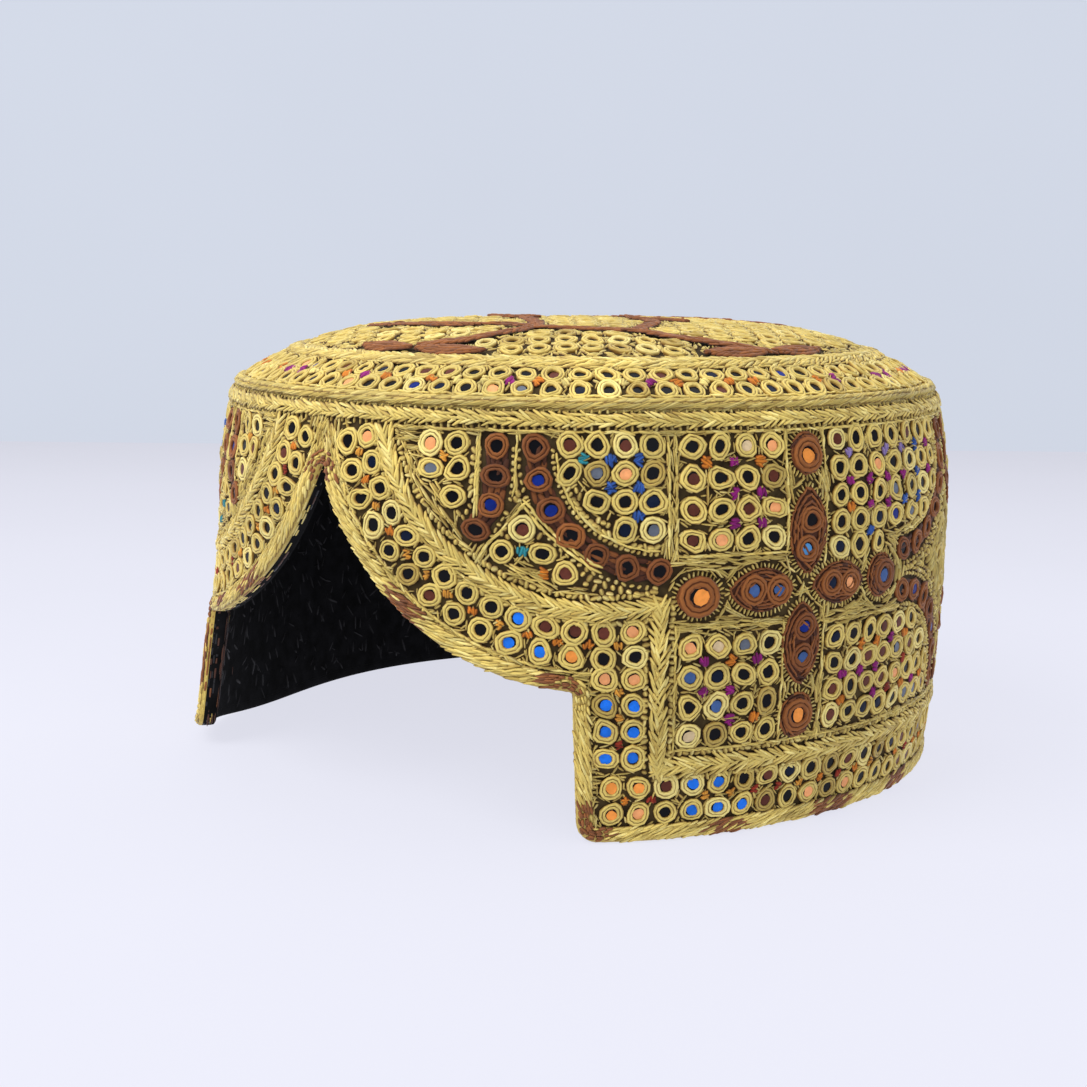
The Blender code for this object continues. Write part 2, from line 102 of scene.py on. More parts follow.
@dataclass(frozen=True)
class CapForm:
    """The cap's shape, with the same sizes as the frame, in millimetres."""

    rim_radius: float = 93.0
    rim_height: float = 97.9
    bulge: float = 3.8
    shoulder_depth: float = 2.65
    shoulder_height: float = 6.9
    crown_rise: float = 14.8
    crown_power: float = 4.3
    flare_right: float = 3.9
    flare_left: float = 13.3
    lift_left: float = 4.5
    flare_height: float = 81.6
    flare_power: float = 2.5
    flare_angle: float = math.radians(37.5)
    flare_fade: float = math.radians(21.2)
    lobe_s: float = 66.6
    lobe_z: float = 104.0
    lobe_radius: float = 70.0
    peak_round: float = 0.7
    flap_edge: float = 60.5
    notch_round: float = 1.0
    flap_corner: float = 4.5
    ridge_ring: float = 90.6
    ridge_height: float = 96.2
    ridge_radius: float = 1.7
    corner_height: float = 34.0
    corner_shift_right: float = 1.3
    corner_shift_reach: float = 12.0
    corner_pull_left: float = 2.2
    corner_pull_reach: float = 10.0
    fullness: float = 1.0
    fullness_height: float = 75.0
    fullness_reach: float = 13.0

    @property
    def half_girth(self) -> float:
        """Arc length from the middle of the front to the middle of the back."""
        return math.pi * self.rim_radius

    def wall(self, spots: Spots) -> Spots:
        """Wrap wall spots onto the cap.

        Args:
            spots: Rows of s, z and depth.

        Returns:
            Rows of x, y and z in metres.
        """
        s, z, depth = spots.T
        away = np.abs(s) - self.flap_edge
        slack = np.clip(1 - z / self.corner_height, 0.0, 1.0)
        shift = np.where(s > 0, self.corner_shift_right, 0.0) * slack
        angle = (s + shift * np.exp(-(away / self.corner_shift_reach) ** 2)) / self.rim_radius
        share = z / self.rim_height
        into = np.clip((z - self.rim_height + self.shoulder_height) / self.shoulder_height, 0.0, 1.0)
        radius = self.rim_radius + 4 * self.bulge * share * (1 - share) + depth
        radius -= self.shoulder_depth * (1 - np.sqrt(1 - into ** 2))
        past = np.clip(np.abs(angle) - self.flare_angle, 0.0, None) / self.flare_fade
        strength = np.exp(-past ** 2)
        freedom = np.clip(1 - z / self.flare_height, 0.0, 1.0)
        left = angle < 0
        radius += np.where(left, self.flare_left, self.flare_right) * strength * freedom ** self.flare_power
        radius += self.fullness * np.exp(-((z - self.fullness_height) / self.fullness_reach) ** 2)
        pull = np.where(left, self.corner_pull_left, 0.0) * slack ** 2
        radius -= pull * np.exp(-(away / self.corner_pull_reach) ** 2)
        height = z + np.where(left, self.lift_left, 0.0) * strength ** 2 * freedom
        return np.column_stack((around(angle, radius), height)) * MM

    def crown(self, spots: Spots) -> Spots:
        """Wrap crown spots onto the dome.

        Args:
            spots: Rows of x, y and lift.

        Returns:
            Rows of x, y and z in metres.
        """
        x, y, lift = spots.T
        edge = self.rim_radius - self.shoulder_depth
        radius = np.maximum(np.hypot(x, y), 1e-6)
        share = radius / edge
        height = self.rim_height + self.crown_rise * (1 - share ** self.crown_power)
        slope = self.crown_rise * self.crown_power * share ** (self.crown_power - 1) / edge
        steep = np.sqrt(1 + slope ** 2)
        out = 1 + lift * slope / steep / radius
        return np.column_stack((x * out, y * out, height + lift / steep)) * MM

    def ridge(self, spots: Spots) -> Spots:
        """Wrap spots round the ridge cord.

        Args:
            spots: Rows of arc length, arc length round the cord from its outer side, and lift.

        Returns:
            Rows of x, y and z in metres.
        """
        along, across, lift = spots.T
        turn = along / self.ridge_ring
        tilt = across / self.ridge_radius
        radius = self.ridge_ring + (self.ridge_radius + lift) * np.cos(tilt)
        height = self.ridge_height + (self.ridge_radius + lift) * np.sin(tilt)
        return np.column_stack((around(turn, radius), height)) * MM

    def opening_edge(self, inset: float, lobe_steps: int = 28) -> np.ndarray:
        """The right half of the opening's edge, from its peak to the flap.

        Args:
            inset: How far the edge is moved into the cloth.
            lobe_steps: How many steps the lobe's arc has.

        Returns:
            Rows of s and z.
        """
        peak = (0.0, self._fillet(self.peak_round, 0.0))
        notch_s = self.flap_edge - self.notch_round
        notch = (notch_s, self._fillet(self.notch_round, notch_s))
        start = math.atan2(self.lobe_z - peak[1], self.lobe_s)
        end = math.atan2(self.lobe_z - notch[1], self.lobe_s - notch[0])
        lobe = (self.lobe_s, self.lobe_z)
        parts = [
            arc(peak, self.peak_round + inset, HALF_TURN / 2, start, 4),
            arc(lobe, self.lobe_radius - inset, HALF_TURN + start, HALF_TURN + end, lobe_steps)[1:],
            arc(notch, self.notch_round + inset, end, 0.0, 5)[1:],
        ]
        return np.vstack(parts)

    def free_edge(self, inset: float, rim_steps: int = 90) -> np.ndarray:
        """The whole free edge, once round, from the back by the left flap, the peak and the right flap.

        Args:
            inset: How far the edge is moved into the cloth.
            rim_steps: How many steps the run from each flap to the back has.

        Returns:
            Rows of s and z.
        """
        top = self.opening_edge(inset)
        corner = (self.flap_edge + self.flap_corner, self.flap_corner)
        drop = np.linspace(top[-1, 1], corner[1], 10)[1:-1]
        side = np.column_stack((np.full(len(drop), self.flap_edge + inset), drop))
        bend = arc(corner, self.flap_corner - inset, HALF_TURN, 1.5 * HALF_TURN, 6)
        run = np.linspace(corner[0], self.half_girth, rim_steps + 1)[1:]
        rim = np.column_stack((run, np.full(len(run), inset)))
        half = np.vstack((top, side, bend, rim))
        return np.vstack((half[:0:-1] * (-1, 1), half))

    def _fillet(self, radius: float, s: float) -> float:
        """Height of a small circle's centre that touches the lobe's arc from outside."""
        return self.lobe_z - math.sqrt((self.lobe_radius + radius) ** 2 - (self.lobe_s - s) ** 2)


FORM = CapForm()


def around(turn: np.ndarray, radius: np.ndarray | float) -> np.ndarray:
    """Places on a circle, for angles from the front towards +X."""
    return np.column_stack((radius * np.sin(turn), -radius * np.cos(turn)))


def arc(centre: Sequence[float], radius: float, start: float, end: float, steps: int) -> np.ndarray:
    """Points along an arc, ends included.

    Args:
        centre: The arc's centre.
        radius: The arc's radius.
        start: The first point's angle in radians.
        end: The last point's angle in radians.
        steps: How many steps the arc has.

    Returns:
        Rows of two coordinates.
    """
    angles = np.linspace(start, end, steps + 1)
    return np.column_stack((centre[0] + radius * np.cos(angles), centre[1] + radius * np.sin(angles)))


def smooth(points: Points, steps: int = 12) -> np.ndarray:
    """A smooth path through a few points.

    Args:
        points: The points, in order.
        steps: How many steps there are from one point to the next.

    Returns:
        Rows of two coordinates.
    """
    ends = np.vstack((points[:1], points, points[-1:]))
    share = np.linspace(0, 1, steps, endpoint=False)[:, None]
    path = []
    for a, b, c, d in zip(ends, ends[1:], ends[2:], ends[3:]):
        bend = (2 * a - 5 * b + 4 * c - d) * share ** 2 + (3 * b - a - 3 * c + d) * share ** 3
        path.append((2 * b + (c - a) * share + bend) / 2)
    return np.vstack((*path, ends[-1:]))


@dataclass(frozen=True)
class Trail:
    """Evenly spaced places along a path, with the path's direction at each."""

    places: np.ndarray
    heading: np.ndarray

    @classmethod
    def along(cls, path: np.ndarray, pitch: float, start: float = 0.5) -> "Trail":
        """Space places along a path.

        Args:
            path: Rows of two coordinates.
            pitch: The wanted distance from place to place.
            start: Where the first place lies, as a share of the pitch.

        Returns:
            The spaced places.
        """
        path = np.asarray(path, dtype=float)
        steps = np.diff(path, axis=0)
        lengths = np.hypot(*steps.T)
        reach = np.concatenate(([0.0], np.cumsum(lengths)))
        count = max(1, round(reach[-1] / pitch))
        wanted = (np.arange(count) + start) * reach[-1] / count
        places = np.column_stack([np.interp(wanted, reach, path[:, k]) for k in (0, 1)])
        segment = np.clip(np.searchsorted(reach, wanted, side="right") - 1, 0, len(steps) - 1)
        return cls(places, np.arctan2(steps[segment, 1], steps[segment, 0]))

    def beside(self, across: np.ndarray | float) -> np.ndarray:
        """The places moved to the left of the path by a distance."""
        sideways = np.column_stack((-np.sin(self.heading), np.cos(self.heading)))
        return self.places + sideways * np.reshape(across, (-1, 1))


NEAREST_CHUNK = 2000


def nearest(spots: np.ndarray, places: np.ndarray) -> tuple[np.ndarray, np.ndarray]:
    """Find the nearest of some places to each spot.

    Args:
        spots: Rows of two layout coordinates.
        places: Rows of two layout coordinates.

    Returns:
        The distances, and the places' numbers.
    """
    distance = np.empty(len(spots))
    number = np.empty(len(spots), dtype=int)
    for start in range(0, len(spots), NEAREST_CHUNK):
        part = slice(start, start + NEAREST_CHUNK)
        apart = np.hypot(spots[part, None, 0] - places[:, 0], spots[part, None, 1] - places[:, 1])
        distance[part] = apart.min(axis=1)
        number[part] = apart.argmin(axis=1)
    return distance, number


def clear_of(spots: np.ndarray, path: np.ndarray, reach: float) -> np.ndarray:
    """Which spots lie further than a distance from every point of a path."""
    return nearest(spots, path)[0] > reach


@dataclass
class Stamp:
    """A small shape that is repeated many times, with a grain and a painted shade at each of its corners."""

    corners: np.ndarray
    loops: np.ndarray
    totals: np.ndarray
    grain: np.ndarray
    shade: np.ndarray

    @classmethod
    def from_bmesh(cls, shape: bmesh.types.BMesh) -> "Stamp":
        """Read a finished bmesh, with its faces in a fixed order, and free it.

        Args:
            shape: The shape, in unit or millimetre sizes.

        Returns:
            The stamp, with a plain grain and shade.
        """
        bmesh.ops.recalc_face_normals(shape, faces=shape.faces)
        shape.verts.index_update()
        corners = np.array([corner.co[:] for corner in shape.verts])
        faces = sorted(([corner.index for corner in face.verts] for face in shape.faces), key=sorted)
        shape.free()
        loops = np.concatenate([np.roll(face, -face.index(min(face))) for face in faces])
        totals = np.array([len(face) for face in faces])
        return cls(corners, loops, totals, np.zeros((len(corners), 2)), np.ones(len(corners)))

    @classmethod
    def strand(cls, sides: int, rings: int, fullness: float = 0.75, whole: bool = False) -> "Stamp":
        """The upper half of a unit stitch along x, with tapering ends.

        Args:
            sides: How many sides the whole stitch would have.
            rings: How many bands it has from tip to tip.
            fullness: Below 1 the ends are blunter.
            whole: Whether the lower half stays too.

        Returns:
            The stitch, from -1 to 1 along x and y.
        """
        shape = bmesh.new()
        bmesh.ops.create_uvsphere(shape, u_segments=sides, v_segments=rings, radius=1.0)
        bmesh.ops.rotate(shape, verts=shape.verts, matrix=Matrix.Rotation(HALF_TURN / 2, 3, "Y"))
        if not whole:
            below = [face for face in shape.faces if face.calc_center_median().z < -0.01]
            bmesh.ops.delete(shape, geom=below, context="FACES")
        stamp = cls.from_bmesh(shape)
        if stamp._points_down() and not whole:
            stamp._turn_over()
        x, y, z = stamp.corners.T
        girth = np.hypot(y, z)
        swell = np.where(girth > 1e-6, np.maximum(girth, 1e-6) ** (fullness - 1), 1.0)
        stamp.corners[:, 1] *= swell
        stamp.corners[:, 2] *= swell
        stamp.grain = np.column_stack((x, np.arctan2(z, y)))
        if not whole:
            # Painted shade: each strand is darker towards its base, where it meets the ground and its
            # neighbours.
            stamp.shade = 0.12 + 0.88 * np.clip(z * 1.4, 0.0, 1.0) ** 0.8
        return stamp

    @classmethod
    def turned(cls, profile: Sequence[tuple[float, float, float]], steps: int) -> "Stamp":
        """A ring spun from a profile.

        Args:
            profile: Radius, height and painted shade of each point, from outside to inside.
            steps: How many sides the ring has.

        Returns:
            The ring, with its grain running round it.
        """
        shape = bmesh.new()
        points = [shape.verts.new((radius, 0.0, height)) for radius, height, _ in profile]
        edges = [shape.edges.new(pair) for pair in zip(points, points[1:])]
        bmesh.ops.spin(
            shape, geom=points + edges, cent=(0, 0, 0), axis=(0, 0, 1), angle=FULL_TURN, steps=steps,
            use_merge=True,
        )
        stamp = cls.from_bmesh(shape)
        x, y, z = stamp.corners.T
        table = np.array(profile)
        gap = np.hypot(np.hypot(x, y)[:, None] - table[None, :, 0], z[:, None] - table[None, :, 1])
        nearest = gap.argmin(axis=1)
        # Each corner takes the painted shade of its nearest profile point.
        stamp.shade = table[nearest, 2]
        stamp.grain = np.column_stack((np.abs(np.arctan2(y, x)) * 2.0, nearest * 0.5))
        if stamp._points_down():
            stamp._turn_over()
        return stamp

    def _turn_over(self) -> None:
        """Turn every face the other way, with the same first corner."""
        runs = np.split(self.loops, np.cumsum(self.totals)[:-1])
        self.loops = np.concatenate([np.roll(run[::-1], 1) for run in runs])

    def inwards(self) -> "Stamp":
        """The same shape, standing inwards instead of outwards."""
        twin = Stamp(self.corners * (1, 1, -1), self.loops, self.totals, self.grain, self.shade)
        twin._turn_over()
        return twin

    def _points_down(self) -> bool:
        """Whether the faces' area, seen from above, is turned away."""
        total = 0.0
        for run in np.split(self.loops, np.cumsum(self.totals)[:-1]):
            a, b, c = self.corners[run[:3]]
            total += np.cross(b - a, c - a)[2]
        return total < 0

    @classmethod
    def disc(cls, sides: int = 12) -> "Stamp":
        """A unit disc with a low dome, for a mirror.

        Args:
            sides: How many sides the disc has.

        Returns:
            The disc.
        """
        shape = bmesh.new()
        bmesh.ops.create_circle(shape, cap_ends=True, cap_tris=True, segments=sides, radius=1.0)
        stamp = cls.from_bmesh(shape)
        x, y, _ = stamp.corners.T
        stamp.corners[:, 2] = 0.12 * (1 - x ** 2 - y ** 2)
        if stamp._points_down():
            stamp._turn_over()
        return stamp


# Radius, height and painted shade of each point: the ring is painted darker in its grooves and on its falling
# edges.
RING_PROFILE = [
    (2.92, -0.45, 0.08), (3.00, -0.02, 0.42), (2.80, 0.38, 1.0), (2.38, 0.40, 1.0), (2.20, 0.10, 0.20),
    (2.02, 0.46, 1.0), (1.62, 0.46, 0.95), (1.40, 0.06, 0.45), (1.30, -0.30, 0.10),
]
# Painted shade turns warmer as it deepens: each channel of a tint is multiplied by the corner's shade to
# these powers.
SHADE_WARMTH = (0.85, 1.25, 1.9)
STRAND = Stamp.strand(sides=6, rings=5)
SEED = Stamp.strand(sides=4, rings=4, fullness=0.8)
WHOLE = Stamp.strand(sides=5, rings=4, whole=True)
INNER = STRAND.inwards()
RING = Stamp.turned(RING_PROFILE, 12)
DISC = Stamp.disc()


class Needlework:
    """Many small shapes laid out flat, joined in one mesh and wrapped onto the cap."""

    def __init__(self, seed: int) -> None:
        """Start empty, with a seeded source of chance."""
        self.chance = np.random.default_rng(seed)
        self.spots: list[np.ndarray] = []
        self.loops: list[np.ndarray] = []
        self.totals: list[np.ndarray] = []
        self.grain: list[np.ndarray] = []
        self.tint: list[np.ndarray] = []
        self.count = 0

    def _keep(self, spots: np.ndarray, loops: np.ndarray, totals: np.ndarray, grain: np.ndarray,
              tint: np.ndarray) -> None:
        """Add one mesh's worth of corners and faces."""
        self.spots.append(spots)
        self.loops.append(loops + self.count)
        self.totals.append(totals)
        self.grain.append(grain)
        self.tint.append(tint)
        self.count += len(spots)

    def sizes(self, usual: Sequence[float], low: float, high: float, count: int) -> np.ndarray:
        """Half the size of each of many stitches, between two shares of the usual full size."""
        return np.array(usual) * self.chance.uniform(low, high, (count, 3)) / 2

    def stamp(self, shape: Stamp, places: np.ndarray, size: np.ndarray | Sequence[float],
              depth: np.ndarray | float, tint: np.ndarray, angle: np.ndarray | float = 0.0,
              wobble: float = 0.0, tilt: float = 0.0, uneven: float = 0.0, rough: float = 0.0) -> None:
        """Lay copies of a shape at the given places.

        Args:
            shape: The shape to repeat.
            places: Rows of two layout coordinates.
            size: The size along, across and in depth, for all copies or for each.
            depth: The depth of the copies' origins.
            tint: The colour of all copies or of each.
            angle: How far each copy is turned.
            wobble: How far the outline strays from round, as a share of its radius.
            tilt: How far the copies lean, in millimetres for each millimetre.
            uneven: How far the tint of each copy strays, as a share.
            rough: How far single corners stray, in millimetres.
        """
        places = np.atleast_2d(places)
        count = len(places)
        if not count:
            return
        size = np.broadcast_to(np.asarray(size, dtype=float), (count, 3))
        angle = np.broadcast_to(np.asarray(angle, dtype=float), (count,))
        local = shape.corners[None] * size[:, None, :]
        if wobble:
            theta = np.arctan2(shape.corners[:, 1], shape.corners[:, 0])
            factor = np.ones((count, len(theta)))
            for waves, share in ((2, 1.0), (3, 0.6), (4, 0.5)):
                strength = self.chance.normal(0.0, wobble * share, (count, 1))
                start = self.chance.uniform(0, FULL_TURN, (count, 1))
                factor += strength * np.cos(waves * theta[None] + start)
            local[:, :, :2] *= factor[:, :, None]
        if tilt:
            lean = self.chance.normal(0.0, tilt, (count, 2, 1))
            local[:, :, 2] += lean[:, 0] * local[:, :, 0] + lean[:, 1] * local[:, :, 1]
        if rough:
            local += self.chance.normal(0.0, rough, local.shape)
        cos, sin = np.cos(angle)[:, None], np.sin(angle)[:, None]
        spots = np.empty_like(local)
        spots[:, :, 0] = places[:, 0, None] + cos * local[:, :, 0] - sin * local[:, :, 1]
        spots[:, :, 1] = places[:, 1, None] + sin * local[:, :, 0] + cos * local[:, :, 1]
        spots[:, :, 2] = np.reshape(depth, (-1, 1)) + local[:, :, 2]
        loops = (shape.loops[None] + (np.arange(count) * len(shape.corners))[:, None]).ravel()
        grain = np.tile(shape.grain, (count, 1))
        grain[:, 0] += np.repeat(self.chance.uniform(0, 50, count), len(shape.corners))
        colour = np.broadcast_to(np.asarray(tint, dtype=float), (count, 3))
        colour = colour * (1 + self.chance.uniform(-uneven, uneven, (count, 1)))
        # Painted shade: each corner's shade darkens its tint, least in red and most in blue.
        colour = (colour[:, None, :] * shape.shade[None, :, None] ** SHADE_WARMTH).reshape(-1, 3)
        self._keep(spots.reshape(-1, 3), loops, np.tile(shape.totals, count), grain, colour)

    def mix(self, count: int, *shares: tuple[Thread, float]) -> np.ndarray:
        """Pick a thread colour for each of many stitches.

        Args:
            count: How many colours to pick.
            shares: The threads and how often each is picked.

        Returns:
            Rows of red, green and blue.
        """
        colours = np.array([thread.value for thread, _ in shares])
        odds = np.array([share for _, share in shares])
        return colours[self.chance.choice(len(colours), count, p=odds / odds.sum())]

    def gold(self, count: int) -> np.ndarray:
        """The usual mixture of gold threads for a number of stitches."""
        return self.mix(count, (Thread.GOLD, 0.68), (Thread.PALE_GOLD, 0.18), (Thread.OLD_GOLD, 0.14))

    def sheet(self, across: int, along: int, place: Layout, tint: Thread) -> None:
        """Lay a grid of squares, shaped by a rule.

        Args:
            across: How many squares it has one way.
            along: How many squares it has the other way.
            place: Gives the spots for the two shares, from 0 to 1, of each corner.
            tint: The colour of the sheet.
        """
        shape = bmesh.new()
        bmesh.ops.create_grid(shape, x_segments=across, y_segments=along, size=0.5)
        bmesh.ops.translate(shape, verts=shape.verts, vec=(0.5, 0.5, 0.0))
        stamp = Stamp.from_bmesh(shape)
        spots = place(stamp.corners[:, 0], stamp.corners[:, 1])
        colour = np.tile(tint.value, (len(spots), 1))
        self._keep(spots, stamp.loops, stamp.totals, spots[:, :2].copy(), colour)

    def build(self, name: str, surface: Surface, finish: bpy.types.Material,
              weld: bool = False) -> bpy.types.Object:
        """Wrap the layout onto the cap as one object.

        Args:
            name: The object's name.
            surface: The rule that wraps spots.
            finish: The material.
            weld: Whether corners that meet are joined.

        Returns:
            The object, linked to the scene and riding on the cap.
        """
        places = surface(np.vstack(self.spots))
        places[:, 2] = np.maximum(places[:, 2], 0.02 * MM)
        loops = np.concatenate(self.loops)
        totals = np.concatenate(self.totals)
        mesh = bpy.data.meshes.new(name)
        mesh.vertices.add(len(places))
        mesh.vertices.foreach_set("co", places.ravel())
        mesh.loops.add(len(loops))
        mesh.loops.foreach_set("vertex_index", loops)
        mesh.polygons.add(len(totals))
        mesh.polygons.foreach_set("loop_start", np.concatenate(([0], np.cumsum(totals)[:-1])))
        mesh.polygons.foreach_set("loop_total", totals)
        mesh.update(calc_edges=True)
        grain = np.vstack(self.grain)[loops]
        mesh.uv_layers.new(name="grain").data.foreach_set("uv", grain.ravel())
        # The tint attribute holds each corner's thread colour with its painted shade.
        tint = np.column_stack((np.vstack(self.tint), np.ones(len(places))))
        mesh.color_attributes.new("tint", "FLOAT_COLOR", "POINT").data.foreach_set("color", tint.ravel())
        mesh.polygons.foreach_set("use_smooth", np.ones(len(totals), dtype=bool))
        mesh.materials.append(finish)
        mesh.validate()
        if weld:
            weld_mesh(mesh)
        piece = bpy.data.objects.new(name, mesh)
        bpy.context.scene.collection.objects.link(piece)
        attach(piece, ROOT)
        LOG.info("%s: %d faces", name, len(mesh.polygons))
        return piece


def weld_mesh(mesh: bpy.types.Mesh) -> None:
    """Join a mesh's meeting corners and point its faces the same way."""
    shape = bmesh.new()
    shape.from_mesh(mesh)
    bmesh.ops.remove_doubles(shape, verts=shape.verts, dist=0.005 * MM)
    bmesh.ops.recalc_face_normals(shape, faces=shape.faces)
    shape.to_mesh(mesh)
    shape.free()


class NodeBench:
    """Short calls for building a material's nodes."""

    def __init__(self, tree: bpy.types.NodeTree) -> None:
        """Work on a node tree."""
        self.tree = tree

    def add(self, kind: str, label: str = "", **values: object) -> bpy.types.Node:
        """Add a node and set its properties.

        Args:
            kind: The node's type.
            label: The node's label.
            values: Properties of the node.

        Returns:
            The new node.
        """
        node = self.tree.nodes.new(kind)
        node.label = label
        for key, value in values.items():
            setattr(node, key, value)
        return node

    def join(self, start: bpy.types.NodeSocket, end: bpy.types.NodeSocket) -> None:
        """Link an output to an input."""
        self.tree.links.new(start, end)

    def multiply(self, first: bpy.types.NodeSocket, second: bpy.types.NodeSocket,
                 label: str = "") -> bpy.types.NodeSocket:
        """Multiply two colours."""
        node = self.add("ShaderNodeMix", label, data_type="RGBA", blend_type="MULTIPLY")
        node.inputs["Factor"].default_value = 1.0
        self.join(first, node.inputs[6])
        self.join(second, node.inputs[7])
        return node.outputs[2]

    def spread(self, value: bpy.types.NodeSocket, low: float, high: float,
               label: str = "") -> bpy.types.NodeSocket:
        """Map a value from 0 to 1 to the range from low to high."""
        node = self.add("ShaderNodeMapRange", label)
        node.inputs["To Min"].default_value = low
        node.inputs["To Max"].default_value = high
        self.join(value, node.inputs["Value"])
        return node.outputs["Result"]

    def grey(self, value: bpy.types.NodeSocket, low: float, high: float, label: str) -> bpy.types.NodeSocket:
        """A grey that goes from low to high with a value."""
        light = self.spread(value, low, high, label)
        node = self.add("ShaderNodeCombineColor", label)
        for channel in ("Red", "Green", "Blue"):
            self.join(light, node.inputs[channel])
        return node.outputs["Color"]

    def noise(self, label: str, scale: float, detail: float,
              place: bpy.types.NodeSocket) -> bpy.types.NodeSocket:
        """Noise over a place."""
        node = self.add("ShaderNodeTexNoise", label)
        node.inputs["Scale"].default_value = scale
        node.inputs["Detail"].default_value = detail
        self.join(place, node.inputs["Vector"])
        return node.outputs["Fac"]

    def relief(self, height: bpy.types.NodeSocket, strength: float, distance: float,
               label: str) -> bpy.types.NodeSocket:
        """A bumpy normal from a height, with the distance in millimetres."""
        node = self.add("ShaderNodeBump", label)
        node.inputs["Strength"].default_value = strength
        node.inputs["Distance"].default_value = distance * MM
        self.join(height, node.inputs["Height"])
        return node.outputs["Normal"]


def start_material(name: str) -> tuple[bpy.types.Material, NodeBench, bpy.types.Node]:
    """A new material, with its bench and its shader."""
    material = bpy.data.materials.new(name)
    material.use_nodes = True
    return material, NodeBench(material.node_tree), material.node_tree.nodes["Principled BSDF"]


def fibre_group() -> bpy.types.NodeTree:
    """The shared node group that draws the fibres of a thread along its grain.

    Returns:
        The group, with a mask as its output.
    """
    name = "Thread Fibres"
    if name in bpy.data.node_groups:
        return bpy.data.node_groups[name]
    group = bpy.data.node_groups.new(name, "ShaderNodeTree")
    group.interface.new_socket("Grain", in_out="INPUT", socket_type="NodeSocketVector")
    for label, default in (("Along", 0.8), ("Across", 9.0)):
        socket = group.interface.new_socket(label, in_out="INPUT", socket_type="NodeSocketFloat")
        socket.default_value = default
    group.interface.new_socket("Mask", in_out="OUTPUT", socket_type="NodeSocketFloat")
    bench = NodeBench(group)
    source = bench.add("NodeGroupInput")
    result = bench.add("NodeGroupOutput")
    stretch = bench.add("ShaderNodeCombineXYZ", "stretch")
    bench.join(source.outputs["Along"], stretch.inputs["X"])
    bench.join(source.outputs["Across"], stretch.inputs["Y"])
    scaled = bench.add("ShaderNodeVectorMath", "stretched grain", operation="MULTIPLY")
    bench.join(source.outputs["Grain"], scaled.inputs[0])
    bench.join(stretch.outputs["Vector"], scaled.inputs[1])
    noise = bench.add("ShaderNodeTexNoise", "fibres")
    noise.inputs["Scale"].default_value = 1.0
    noise.inputs["Detail"].default_value = 3.0
    noise.inputs["Roughness"].default_value = 0.6
    bench.join(scaled.outputs["Vector"], noise.inputs["Vector"])
    bench.join(noise.outputs["Fac"], result.inputs["Mask"])
    return group


def ageing_group() -> bpy.types.NodeTree:
    """The shared node group for soiling and fading that drifts over the whole cap.

    Returns:
        The group, with a mask as its output.
    """
    name = "Ageing"
    if name in bpy.data.node_groups:
        return bpy.data.node_groups[name]
    group = bpy.data.node_groups.new(name, "ShaderNodeTree")
    size = group.interface.new_socket("Scale", in_out="INPUT", socket_type="NodeSocketFloat")
    size.default_value = 40.0
    group.interface.new_socket("Mask", in_out="OUTPUT", socket_type="NodeSocketFloat")
    bench = NodeBench(group)
    source = bench.add("NodeGroupInput")
    result = bench.add("NodeGroupOutput")
    place = bench.add("ShaderNodeTexCoord")
    noise = bench.add("ShaderNodeTexNoise", "drift")
    noise.inputs["Detail"].default_value = 4.0
    bench.join(place.outputs["Object"], noise.inputs["Vector"])
    bench.join(source.outputs["Scale"], noise.inputs["Scale"])
    bench.join(noise.outputs["Fac"], result.inputs["Mask"])
    return group


@dataclass(frozen=True)
class ThreadFinish:
    """Embroidery thread: its colour comes from the stitches, its fibres run along their grain."""

    name: str
    roughness: float = 0.52
    specular: float = 0.35
    sheen: float = 0.12
    fibre_depth: float = 0.10
    fade: float = 0.28
    across: float = 3.2

    def material(self) -> bpy.types.Material:
        """Build the finish.

        Returns:
            The material.
        """
        material, bench, shader = start_material(self.name)
        shader.inputs["Specular IOR Level"].default_value = self.specular
        shader.inputs["Sheen Weight"].default_value = self.sheen
        # The tint attribute holds each stitch's thread colour with its painted shade.
        tint = bench.add("ShaderNodeAttribute", "stitch colour", attribute_name="tint")
        grain = bench.add("ShaderNodeUVMap", "grain", uv_map="grain")
        fibres = bench.add("ShaderNodeGroup", "fibres", node_tree=fibre_group())
        fibres.inputs["Across"].default_value = self.across
        bench.join(grain.outputs["UV"], fibres.inputs["Grain"])
        ageing = bench.add("ShaderNodeGroup", "ageing", node_tree=ageing_group())
        mask = fibres.outputs["Mask"]
        streaks = bench.grey(mask, 0.62, 1.38, "streaks")
        streaked = bench.multiply(tint.outputs["Color"], streaks, "streaked")
        fade = bench.grey(ageing.outputs["Mask"], 1.0 - self.fade, 1.0 + self.fade, "fade")
        bench.join(bench.multiply(streaked, fade, "faded"), shader.inputs["Base Color"])
        gloss = bench.spread(mask, self.roughness - 0.14, self.roughness + 0.14, "gloss")
        bench.join(gloss, shader.inputs["Roughness"])
        bench.join(bench.relief(mask, 0.55, self.fibre_depth, "fibre relief"), shader.inputs["Normal"])
        return material


@dataclass(frozen=True)
class MirrorFinish:
    """Small old mirrors with a dull coat."""

    name: str = "mirror glass"
    roughness: float = 0.22
    specular: float = 0.10

    def material(self) -> bpy.types.Material:
        """Build the finish.

        Returns:
            The material.
        """
        material, bench, shader = start_material(self.name)
        shader.inputs["Specular IOR Level"].default_value = self.specular
        # The tint attribute holds each pane's painted reflection colour.
        tint = bench.add("ShaderNodeAttribute", "glass tint", attribute_name="tint")
        place = bench.add("ShaderNodeTexCoord")
        cloud = bench.noise("dull coat", 900.0, 3.0, place.outputs["Object"])
        coat = bench.grey(cloud, 0.7, 1.3, "coat")
        bench.join(bench.multiply(tint.outputs["Color"], coat, "coated"), shader.inputs["Base Color"])
        gloss = bench.spread(cloud, self.roughness - 0.08, self.roughness + 0.12, "gloss")
        bench.join(gloss, shader.inputs["Roughness"])
        bench.join(bench.relief(cloud, 0.15, 0.05, "wavy glass"), shader.inputs["Normal"])
        return material


